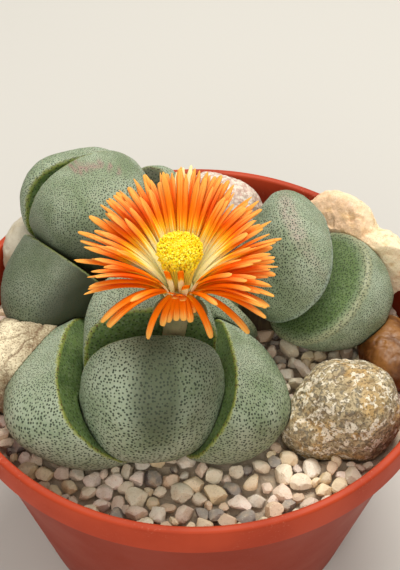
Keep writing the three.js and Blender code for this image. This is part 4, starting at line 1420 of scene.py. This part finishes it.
def petals_mesh(settings):
    batch = Batch()
    batch.add_turned(rounded(HUB), TURNED_SIDES, FLOWER_AT, t=0, u=0, ripe=0, tone=0.5, pale=0)
    thickness = settings.petal_thickness / MM
    for number, layer in enumerate(PETAL_LAYERS):
        for i in range(layer["count"]):
            key = 100 * number + i
            turns = (i + number / 3 + vary(key, 4, 0.7)) / layer["count"]
            angle = 2 * math.pi * turns
            angle += CLUMPING * math.sin(CLUMPS * angle) * abs(math.cos(angle))
            missing = draw(key, 26) < SIDE_GAPS * abs(math.cos(angle))
            if missing or FRONT_GAP[0] < 360 * (turns % 1) < FRONT_GAP[1]:
                continue
            add_strap(batch, petal_strap(layer, key, angle, thickness), angle,
                      tone=layer["tone"] + vary(key, 24, 0.4), pale=key in PALE_PETALS)
    for number, group in enumerate(SINGLE_PETALS):
        for i, (degrees, reach, width, rise, fall, blunt) in enumerate(group["rows"]):
            key = 600 + 50 * number + i
            strap = dict(SINGLE_STRAP, **group, thickness=thickness, length=reach, width=width,
                         rise=rise, fall=fall, sway=vary(key, 9, SINGLE_SWAY),
                         twist=vary(key, 10, SINGLE_TWIST), blunt=0.7 * blunt)
            add_strap(batch, strap, math.radians(degrees), tone=0.1 + 0.3 * draw(key, 24), pale=0)
    return batch.piece("flower_petals_fine")


def petal_material(settings):
    """Silky petals: cream at the base, orange with a red streak above, pale at the tip, with
    painted shade along their edges
    """
    s = Shader("petal_silky_orange")
    t, u, tone = s.layer("t"), s.layer("u"), s.layer("tone")
    where = s.node("ShaderNodeCombineXYZ", 0, {0: s.times(u, 3.0), 1: s.times(t, 0.9),
                                               2: s.times(tone, 40.0)})
    veins = s.node("ShaderNodeTexNoise", 0, {"Vector": where, "Scale": 1.6, "Detail": 3.0})
    wander = s.level(veins, 0.2, 0.8, -0.12, 0.12)
    ripe = s.math("ADD", s.layer("ripe"), wander)
    base = s.ramp(ripe, [(0.0, settings.base), (0.38, settings.base), (0.5, settings.throat),
                         (0.62, settings.blade)])
    # Painted shade: the streak colour is laid along the petal's edges, for the shadow between
    # overlapping petals
    edge = s.level(s.math("ABSOLUTE", u), 0.5, 1.0, 0.0, 0.3)
    depth = s.math("ADD", s.level(tone, 0.25, 0.95, 0.0, 0.75), edge)
    base = s.mix(s.times(s.level(ripe, 0.54, 0.74), depth), base, settings.streak)
    base = s.mix(s.level(s.math("ADD", t, wander), 0.7, 1.05), base, settings.tip)
    pale = s.times(s.layer("pale"), s.level(t, 0.35, 0.75, 0.0, 0.85))
    base = s.mix(pale, base, settings.base)
    return s.close(base, s.level(veins, 0.3, 0.7, 0.5, 0.64), s.bump(veins, 0.12, 0.5),
                   Subsurface_Weight=0.25, Subsurface_Scale=0.001,
                   Subsurface_Radius=(1, 0.8, 0.5), Specular_IOR_Level=0.1)


def add_grain(batch, ball, at, half, key, **layers):
    """One small ellipsoid, turned at random"""
    directions, faces = ball
    batch.add(at + (directions * half) @ seeded_turn(key), faces, **layers)


def seeded_turn(key):
    """A seeded turn in space, as the rows of its matrix"""
    first = unit(np.array([vary(key, salt, 1) for salt in (31, 32, 33)]))
    second = unit(np.cross(first, (vary(key, 34, 1), vary(key, 35, 1), draw(key, 36) + 0.1)))
    return np.array([first, second, np.cross(first, second)])


def add_anther(batch, ball, foot, i, out):
    """One anther of the dome, at a share of the way out from its middle"""
    turn = i * ANTHER_TURN + vary(i, 41, 0.5)
    radius = STAMEN_REACH * min(1.06, 1.25 * math.sqrt(out)) * (0.96 + 0.08 * draw(i, 42))
    drop = STAMEN_DROP * out ** 2 + 2.4 * max(0, out - 0.6) * draw(i, 43) + 0.8 * draw(i, 44)
    at = foot + (radius * math.cos(turn), radius * math.sin(turn), STAMEN_HEIGHT - 0.9 - drop)
    half = np.array(ANTHER_HALF) * (0.8 + 0.35 * draw(i, 45))
    add_grain(batch, ball, at, half, i, tone=0.3 + 0.7 * draw(i, 46), pale=0)


def add_filament(batch, ball, foot, i, turn):
    """One filament at the dome's side, many with an anther at the end"""
    way, aside = compass(turn)
    low, high = 2.4 + 0.9 * draw(i, 52), 5.4 + 1.3 * draw(i, 53)
    top = 11.5 + 4 * draw(i, 54)
    t = np.linspace(0, 1, FILAMENT_STEPS)[:, None]
    line = foot + way * (low + (high - low) * t ** 1.5) + aside * (vary(i, 55, 1.2) * t ** 2)
    line = line + np.array([0, 0, 1]) * (0.3 + (top - 0.3) * t)
    spin = circle(FILAMENT_SIDES)[:, None]
    ring = way * np.cos(spin) + aside * np.sin(spin)
    pale = np.concatenate([[1], np.repeat((1 - t[:, 0]) ** 2, FILAMENT_SIDES), [0]])
    batch.add_skin(line[0], line[:, None] + ring * FILAMENT_RADIUS, line[-1], tone=0.8, pale=pale)
    if draw(i, 56) > 0.4:
        add_grain(batch, ball, line[-1], np.array(OUTER_ANTHER_HALF), 900 + i,
                  tone=0.2 + 0.7 * draw(i, 57), pale=0)


def stamens_mesh(settings):
    batch = Batch()
    foot = FLOWER_AT + (0, 0, HUB_HEIGHT + GAP)
    batch.add_turned(rounded(STAMEN_CORE), CORE_SIDES, foot, tone=0.1, pale=0)
    ball = icosphere(2)
    for i in range(settings.anthers):
        add_anther(batch, ball, foot, i, (i + 0.5) / settings.anthers)
    for i in range(settings.filaments):
        turn = 2 * math.pi * (i + 0.7 * draw(i, 51)) / settings.filaments
        add_filament(batch, ball, foot, i, turn)
    return batch.piece("flower_stamens_fine")


def stamen_material(settings):
    """Dusty yellow anthers on pale filaments, brownish in the gaps"""
    s = Shader("stamen_dusty_yellow")
    base = s.ramp(s.layer("tone"), [(0.0, tint(236, 178, 16)), (0.25, tint(252, 212, 18)),
                                    (0.6, settings.anther), (1.0, tint(255, 246, 104))])
    base = s.mix(s.layer("pale"), base, tint(255, 240, 150))
    dust = s.noise(0.3, detail=2)
    base = s.coats(base, (tint(214, 160, 20), dust, (0.55, 0.75), (0.0, 0.3)))
    return s.close(base, 0.75, s.bump(dust, 0.08, 0.6), Subsurface_Weight=0.1,
                   Subsurface_Scale=0.0008, Specular_IOR_Level=0.25)


def stalk_mesh():
    batch = Batch()
    t = np.linspace(0, 1, STALK_STEPS)
    line = stalk_point(t)
    turn = circle(STALK_STEPS)
    ribs = 1 + 0.015 * np.sin(9 * turn) + 0.01 * np.sin(14 * turn + 1)
    neck = 0.94 + 0.06 * np.cos(2 * np.pi * t)[:, None]
    wide = 0.93 * (1 + 0.35 * (1 - smooth(0, 0.4, t)))[:, None]
    x = STALK_RADIUS * wide * np.cos(turn) * ribs * neck
    y = STALK_RADIUS * 0.9 * np.sin(turn) * ribs * neck
    rings = line[:, None] + np.stack([x, y, np.zeros_like(x)], -1)
    batch.add_skin(line[0], rings, line[-1] - (0, 0, 0.2), cup=0)
    batch.add_turned(rounded(RECEPTACLE), TURNED_SIDES, FLOWER_AT, cup=1)
    for i in range(SEPALS):
        angle = 2 * math.pi * (i + 0.25) / SEPALS
        sepal = dict(SEPAL, twist=vary(i, 61, SEPAL_TWIST))
        points, _, _ = strap_rings(sepal, angle, SEPAL_STEPS, SEPAL_ACROSS)
        batch.add_skin(points[0].mean(axis=0), points, points[-1].mean(axis=0), cup=1)
    return batch.piece("flower_stalk_fine")


def stalk_material():
    """Fleshy grey-beige stalk with fine lines and dots, greener at the cup"""
    s = Shader("stalk_fleshy")
    base = s.coats(tint(136, 126, 92),
                   (tint(118, 116, 80), s.noise(6, detail=3), (0.35, 0.7), (0.0, 1.0)))
    base = s.mix(s.times(s.layer("cup"), 0.7), base, tint(124, 140, 88))
    dots = s.cells(1.1, randomness=0.9)
    base = s.coats(base, (tint(92, 88, 60), dots, (0.18, 0.34), (0.4, 0.0)))
    return s.close(base, 0.6, s.bump(s.noise(0.9, detail=3), 0.12, 0.5), Subsurface_Weight=0.06,
                   Subsurface_Scale=0.001)


# Fillings

def add_pebble(batch, ball, at, half, turn, key, colour):
    """One small chipped stone"""
    directions, faces = ball
    reach = chipped(directions, np.ones(len(directions)), PEBBLE_CHIPS, PEBBLE_CHIP_DEPTH,
                    200 + key, PEBBLE_SHARPNESS)
    local = directions * reach[:, None] * half * PEBBLE_SWELL
    lean = vary(key, 71, 0.5)
    local = local @ np.array([[math.cos(lean), 0, -math.sin(lean)], [0, 1, 0],
                              [math.sin(lean), 0, math.cos(lean)]])
    batch.add(np.array(at) + turned(local, turn), faces, pebble_colour=colour)


def pebble_spots(settings):
    """Places and sizes of the pebbles, large ones first, clear of leaves, stones and wall"""
    covered = blocked_by("gravel", 0.4)
    spots = []
    taken = np.array([(x, y, (size + width) / 4) for (x, y, _), size, width, *_ in SEEN_PEBBLES])
    smallest, largest = settings.smallest / MM, settings.largest / MM
    for i in range(PEBBLE_TRIES):
        size = (largest - smallest) * (1 - i / PEBBLE_TRIES) ** 2.2 * (0.6 + 0.4 * draw(i, 83))
        size += smallest
        half = size / 2
        radius = (inner_radius(PEBBLE_LEVEL) - 1 - 0.85 * half) * math.sqrt(draw(i, 81))
        angle = 2 * math.pi * draw(i, 82)
        x, y = radius * math.cos(angle), radius * math.sin(angle)
        far = np.hypot(taken[:, 0] - x, taken[:, 1] - y)
        if np.any(far < PEBBLE_CROWDING * (taken[:, 2] + half)):
            continue
        z = PEBBLE_LEVEL - 0.6 + 0.25 * half + vary(i, 84, 0.8)
        ring = half * 0.7 * np.array([(0, 0, 0), (1, 0, 0), (-1, 0, 0), (0, 1, 0), (0, -1, 0)])
        if np.any(covered(ring + (x, y, z))):
            continue
        taken = np.concatenate([taken, [(x, y, half)]])
        spots.append(((x, y, z), size, i))
    return spots


def add_bed(batch, colour):
    """The grit under the pebbles, pushed down where a leaf or stone stands in it"""
    bottom = SOIL_TOP + GAP
    share_out = (np.arange(BED_RINGS) + 1) / BED_RINGS
    turn = circle(BED_SIDES)
    radius = (inner_radius(BED_TOP) - GAP) * share_out[:, None]
    top = np.stack(np.broadcast_arrays(radius * np.cos(turn), radius * np.sin(turn), BED_TOP), -1)
    top = top.reshape(-1, 3)
    inner = np.repeat(share_out < 1, BED_SIDES)
    top[:, 2] += np.where(inner, relief(top, BED_RELIEF), 0)
    down = np.broadcast_to(np.array([0, 0, -1.0]), top.shape)
    sink = clearance(top, down, blocked_by("gravel"), BED_TOP)
    top[:, 2] = np.maximum(top[:, 2] - sink, bottom + 0.5)
    wall = lathe_rings([(inner_radius(bottom) - GAP, bottom)], BED_SIDES)
    batch.add_skin((0, 0, top[0, 2]), np.concatenate([top.reshape(-1, BED_SIDES, 3), wall]),
                   (0, 0, bottom), pebble_colour=colour)


def gravel_mesh(settings):
    batch = Batch()
    add_bed(batch, settings.bed)
    fine, coarse = icosphere(3), icosphere(2)
    for i, (at, size, width, height, turn, shade) in enumerate(SEEN_PEBBLES):
        half = np.array([size, width, height]) / 2
        add_pebble(batch, fine, at, half, turn, 400 + i, PEBBLE_COLOURS[shade])
    shades = list(PEBBLE_COLOURS.values())
    for at, size, key in pebble_spots(settings):
        half = size / 2 * np.array([1, 0.68 + 0.28 * draw(key, 85), 0.5 + 0.25 * draw(key, 86)])
        shade = np.array(shades[int(draw(key, 87) * len(shades))]) * (0.8 + 0.35 * draw(key, 88))
        add_pebble(batch, fine if size > 5 else coarse, at, half, 360 * draw(key, 89), key, shade)
    piece = batch.piece("gravel_fine")
    piece.data.set_sharp_from_angle(angle=math.radians(20))
    return piece


def pebble_material():
    """Mixed small stones, each of its own colour, with dark and pale specks, painted light on
    their tops and painted shade on their sides
    """
    s = Shader("pebble_mixed")
    fine = s.noise(0.5, detail=3)
    middle = s.noise(2.4, detail=4)
    # The way the skin faces sets painted shade on the pebbles' sides and painted light on their
    # tops
    upward = s.upward()
    base = s.coats(s.layer_vector("pebble_colour"),
                   (tint(214, 182, 140), middle, (0.4, 0.75), (0.0, 0.45)),
                   (tint(110, 84, 62), fine, (0.56, 0.76), (0.0, 0.45)),
                   (tint(255, 250, 238), fine, (0.2, 0.42), (0.5, 0.0)),
                   (tint(124, 98, 74), upward, (0.0, 0.6), (0.35, 0.0)),
                   (tint(255, 248, 234), upward, (0.55, 0.85), (0.0, 0.25)))
    return s.close(base, 0.78, s.bump(fine, 0.25, 0.9, s.bump(middle, 0.4, 0.6)))


def soil_mesh():
    bottom = FLOOR_TOP + GAP
    outline = rounded([(0, bottom, 0), (inner_radius(FLOOR_TOP) - GAP, bottom, 1.8),
                       (inner_radius(SOIL_TOP) - GAP, SOIL_TOP, 0.3), (0, SOIL_TOP, 0)], 6)
    profile = np.array(outline)
    dense = []
    for (r0, z0), (r1, z1) in zip(profile[1:-2], profile[2:-1]):
        parts = max(1, int(math.hypot(r1 - r0, z1 - z0) / SOIL_STEP))
        for k in range(parts):
            dense.append((r0 + (r1 - r0) * k / parts, z0 + (z1 - z0) * k / parts))
    for k in range(SOIL_RINGS):
        dense.append((profile[-2][0] * (1 - k / SOIL_RINGS), SOIL_TOP))
    rings = lathe_rings(dense, SOIL_SIDES)
    flat = rings.reshape(-1, 3)
    flat[:, 2] -= np.where(flat[:, 2] > SOIL_TOP - 0.1, np.abs(relief(flat, SOIL_RELIEF)), 0)
    batch = Batch()
    batch.add_skin((0, 0, bottom), rings, (0, 0, SOIL_TOP - 0.4))
    return batch.piece("soil_fine")


def soil_material(settings):
    """Dark crumbly potting mix with paler grit"""
    s = Shader("potting_mix_crumbly")
    crumbs = s.noise(1.6, detail=5)
    base = s.coats(settings.mix, (tint(96, 74, 54), crumbs, (0.4, 0.7), (0.0, 1.0)),
                   (tint(196, 184, 160), s.cells(2.2), (0.12, 0.2), (0.7, 0.0)))
    return s.close(base, 0.95, s.bump(crumbs, 0.8))


def piece_tests():
    """A test for points inside each piece that others press against, in order"""
    tests = {"flower_stalk": in_stalk}
    for pair in LEAF_PAIRS:
        for leaf in pair["leaves"]:
            tests[leaf["name"]] = partial(in_leaf, pair, leaf)
    for stone in STONES:
        tests[stone["name"]] = partial(in_stone, stone)
    tests["gravel"] = None
    return tests


def blocked_by(name, grow=GAP):
    """A test for points inside any piece that comes before the named one"""
    before = []
    for other, test in piece_tests().items():
        if other == name:
            break
        before.append(test)

    def blocked(points):
        return np.any([test(points, grow) for test in before], axis=0)

    return blocked


# Operators

class SPLITROCK_OT_pot(bpy.types.Operator):
    """Build the plastic pot, with its collar, foot ring and drain holes"""
    bl_idname = "splitrock.pot"
    bl_label = "Pot"

    def execute(self, context):
        settings = context.scene.split_rock.pot
        finish_piece(pot_mesh(settings), pot_material(settings), "pot_plastic", "pot")
        return {"FINISHED"}


class SPLITROCK_OT_leaves(bpy.types.Operator):
    """Build the six leaf pairs"""
    bl_idname = "splitrock.leaves"
    bl_label = "Leaves"

    def execute(self, context):
        settings = context.scene.split_rock.leaf
        materials = {key: leaf_material("leaf_skin_" + key, settings, look)
                     for key, look in LEAF_LOOKS.items()}
        seed = 0
        for pair in LEAF_PAIRS:
            for leaf in pair["leaves"]:
                piece = leaf_mesh(pair, leaf, seed, settings)
                own = leaf["name"].removeprefix("leaf_")
                look = own if own in LEAF_LOOKS else own[0]
                finish_piece(piece, materials[look], "leaf_skin", leaf["name"])
                seed += 1
        return {"FINISHED"}


class SPLITROCK_OT_roots(bpy.types.Operator):
    """Build the three roots in the potting mix"""
    bl_idname = "splitrock.roots"
    bl_label = "Roots"

    def execute(self, context):
        material = root_material(context.scene.split_rock.gravel)
        for seed, root in enumerate(ROOTS):
            finish_piece(root_mesh(root, seed), material, "root_bark", root["name"])
        return {"FINISHED"}


class SPLITROCK_OT_flower(bpy.types.Operator):
    """Build the flower: stalk with its cup, petals and stamens"""
    bl_idname = "splitrock.flower"
    bl_label = "Flower"

    def execute(self, context):
        settings = context.scene.split_rock.flower
        finish_piece(stalk_mesh(), stalk_material(), "stalk_skin", "flower_stalk")
        finish_piece(petals_mesh(settings), petal_material(settings), "petal_orange",
                     "flower_petals")
        finish_piece(stamens_mesh(settings), stamen_material(settings), "stamen_yellow",
                     "flower_stamens")
        return {"FINISHED"}


class SPLITROCK_OT_stones(bpy.types.Operator):
    """Build the six large stones"""
    bl_idname = "splitrock.stones"
    bl_label = "Stones"

    def execute(self, context):
        settings = context.scene.split_rock.stone
        for seed, stone in enumerate(STONES):
            material = STONE_MATERIALS[stone["name"]](settings)
            finish_piece(stone_mesh(stone, seed), material, stone["slot"], stone["name"])
        return {"FINISHED"}


class SPLITROCK_OT_fillings(bpy.types.Operator):
    """Build the pebbles and the potting mix under them"""
    bl_idname = "splitrock.fillings"
    bl_label = "Pebbles and Potting Mix"

    def execute(self, context):
        settings = context.scene.split_rock.gravel
        finish_piece(gravel_mesh(settings), pebble_material(), "pebble_mix", "gravel")
        finish_piece(soil_mesh(), soil_material(settings), "potting_mix", "soil")
        return {"FINISHED"}


class SPLITROCK_OT_stage(bpy.types.Operator):
    """Set up the floor, the soft studio light and the camera"""
    bl_idname = "splitrock.stage"
    bl_label = "Stage"

    def execute(self, context):
        settings = context.scene.split_rock.stage
        add_floor(settings)
        add_sky(settings)
        add_light("key_light", *KEY_LIGHT, settings.key_power)
        add_light("fill_light", *FILL_LIGHT, settings.fill_power)
        add_camera()
        return {"FINISHED"}


class SPLITROCK_PT_panel(bpy.types.Panel):
    """Lists what builds the potted plant"""
    bl_idname = "SPLITROCK_PT_panel"
    bl_label = "Potted Split Rock"
    bl_space_type = "VIEW_3D"
    bl_region_type = "UI"
    bl_category = "Split Rock"

    def draw(self, context):
        settings = context.scene.split_rock
        for operator, group in STEPS:
            box = self.layout.box()
            box.operator(operator.bl_idname)
            if group:
                values = getattr(settings, group)
                for key in values.bl_rna.properties.keys():
                    if key not in {"rna_type", "name"}:
                        box.prop(values, key)


STEPS = [
    (SPLITROCK_OT_pot, "pot"),
    (SPLITROCK_OT_leaves, "leaf"),
    (SPLITROCK_OT_roots, ""),
    (SPLITROCK_OT_flower, "flower"),
    (SPLITROCK_OT_stones, "stone"),
    (SPLITROCK_OT_fillings, "gravel"),
    (SPLITROCK_OT_stage, "stage"),
]
CLASSES = [PotSettings, LeafSettings, FlowerSettings, StoneSettings, GravelSettings,
           StageSettings, SplitRockSettings, *[operator for operator, _ in STEPS],
           SPLITROCK_PT_panel]


# Stage

def add_floor(settings):
    mesh = bpy.data.meshes.new("floor")
    corners = [(-1, -1), (1, -1), (1, 1), (-1, 1)]
    mesh.from_pydata([(x * FLOOR_REACH, y * FLOOR_REACH, 0) for x, y in corners], [],
                     [(0, 1, 2, 3)])
    floor = add_object("floor", mesh)
    s = Shader("floor_pale")
    mesh.materials.append(s.close(settings.floor, 0.9))


def add_sky(settings):
    world = bpy.data.worlds.new("studio")
    world.use_nodes = True
    background = world.node_tree.nodes["Background"]
    background.inputs["Color"].default_value = (*LIGHT_COLOUR, 1)
    background.inputs["Strength"].default_value = settings.sky
    bpy.context.scene.world = world


def add_light(name, at, size, power):
    light = bpy.data.lights.new(name, "AREA")
    light.shape = "DISK"
    light.size = size
    light.energy = power
    light.color = LIGHT_COLOUR
    lamp = add_object(name, light)
    lamp.location = at
    aim = Vector(LOOK_AT) * MM - Vector(at)
    lamp.rotation_euler = aim.to_track_quat("-Z", "Y").to_euler()


def add_camera():
    camera = bpy.data.cameras.new("camera")
    camera.lens = CAMERA_LENS
    camera.sensor_width = CAMERA_SENSOR
    camera.sensor_fit = "AUTO"
    camera.clip_start = 0.01
    view = add_object("camera", camera)
    rise = math.radians(CAMERA_RISE)
    back = Vector((0, -math.cos(rise), math.sin(rise))) * CAMERA_DISTANCE
    view.location = (Vector(LOOK_AT) + back) * MM
    view.rotation_euler = (math.pi / 2 - rise, 0, 0)
    bpy.context.scene.camera = view
    bpy.context.scene.view_settings.view_transform = "Standard"


def register():
    for cls in CLASSES:
        bpy.utils.register_class(cls)
    bpy.types.Scene.split_rock = PointerProperty(type=SplitRockSettings)


def unregister():
    del bpy.types.Scene.split_rock
    for cls in reversed(CLASSES):
        bpy.utils.unregister_class(cls)


def main():
    register()
    for operator, _ in STEPS:
        group, name = operator.bl_idname.split(".")
        getattr(getattr(bpy.ops, group), name)()


if __name__ == "__main__":
    main()
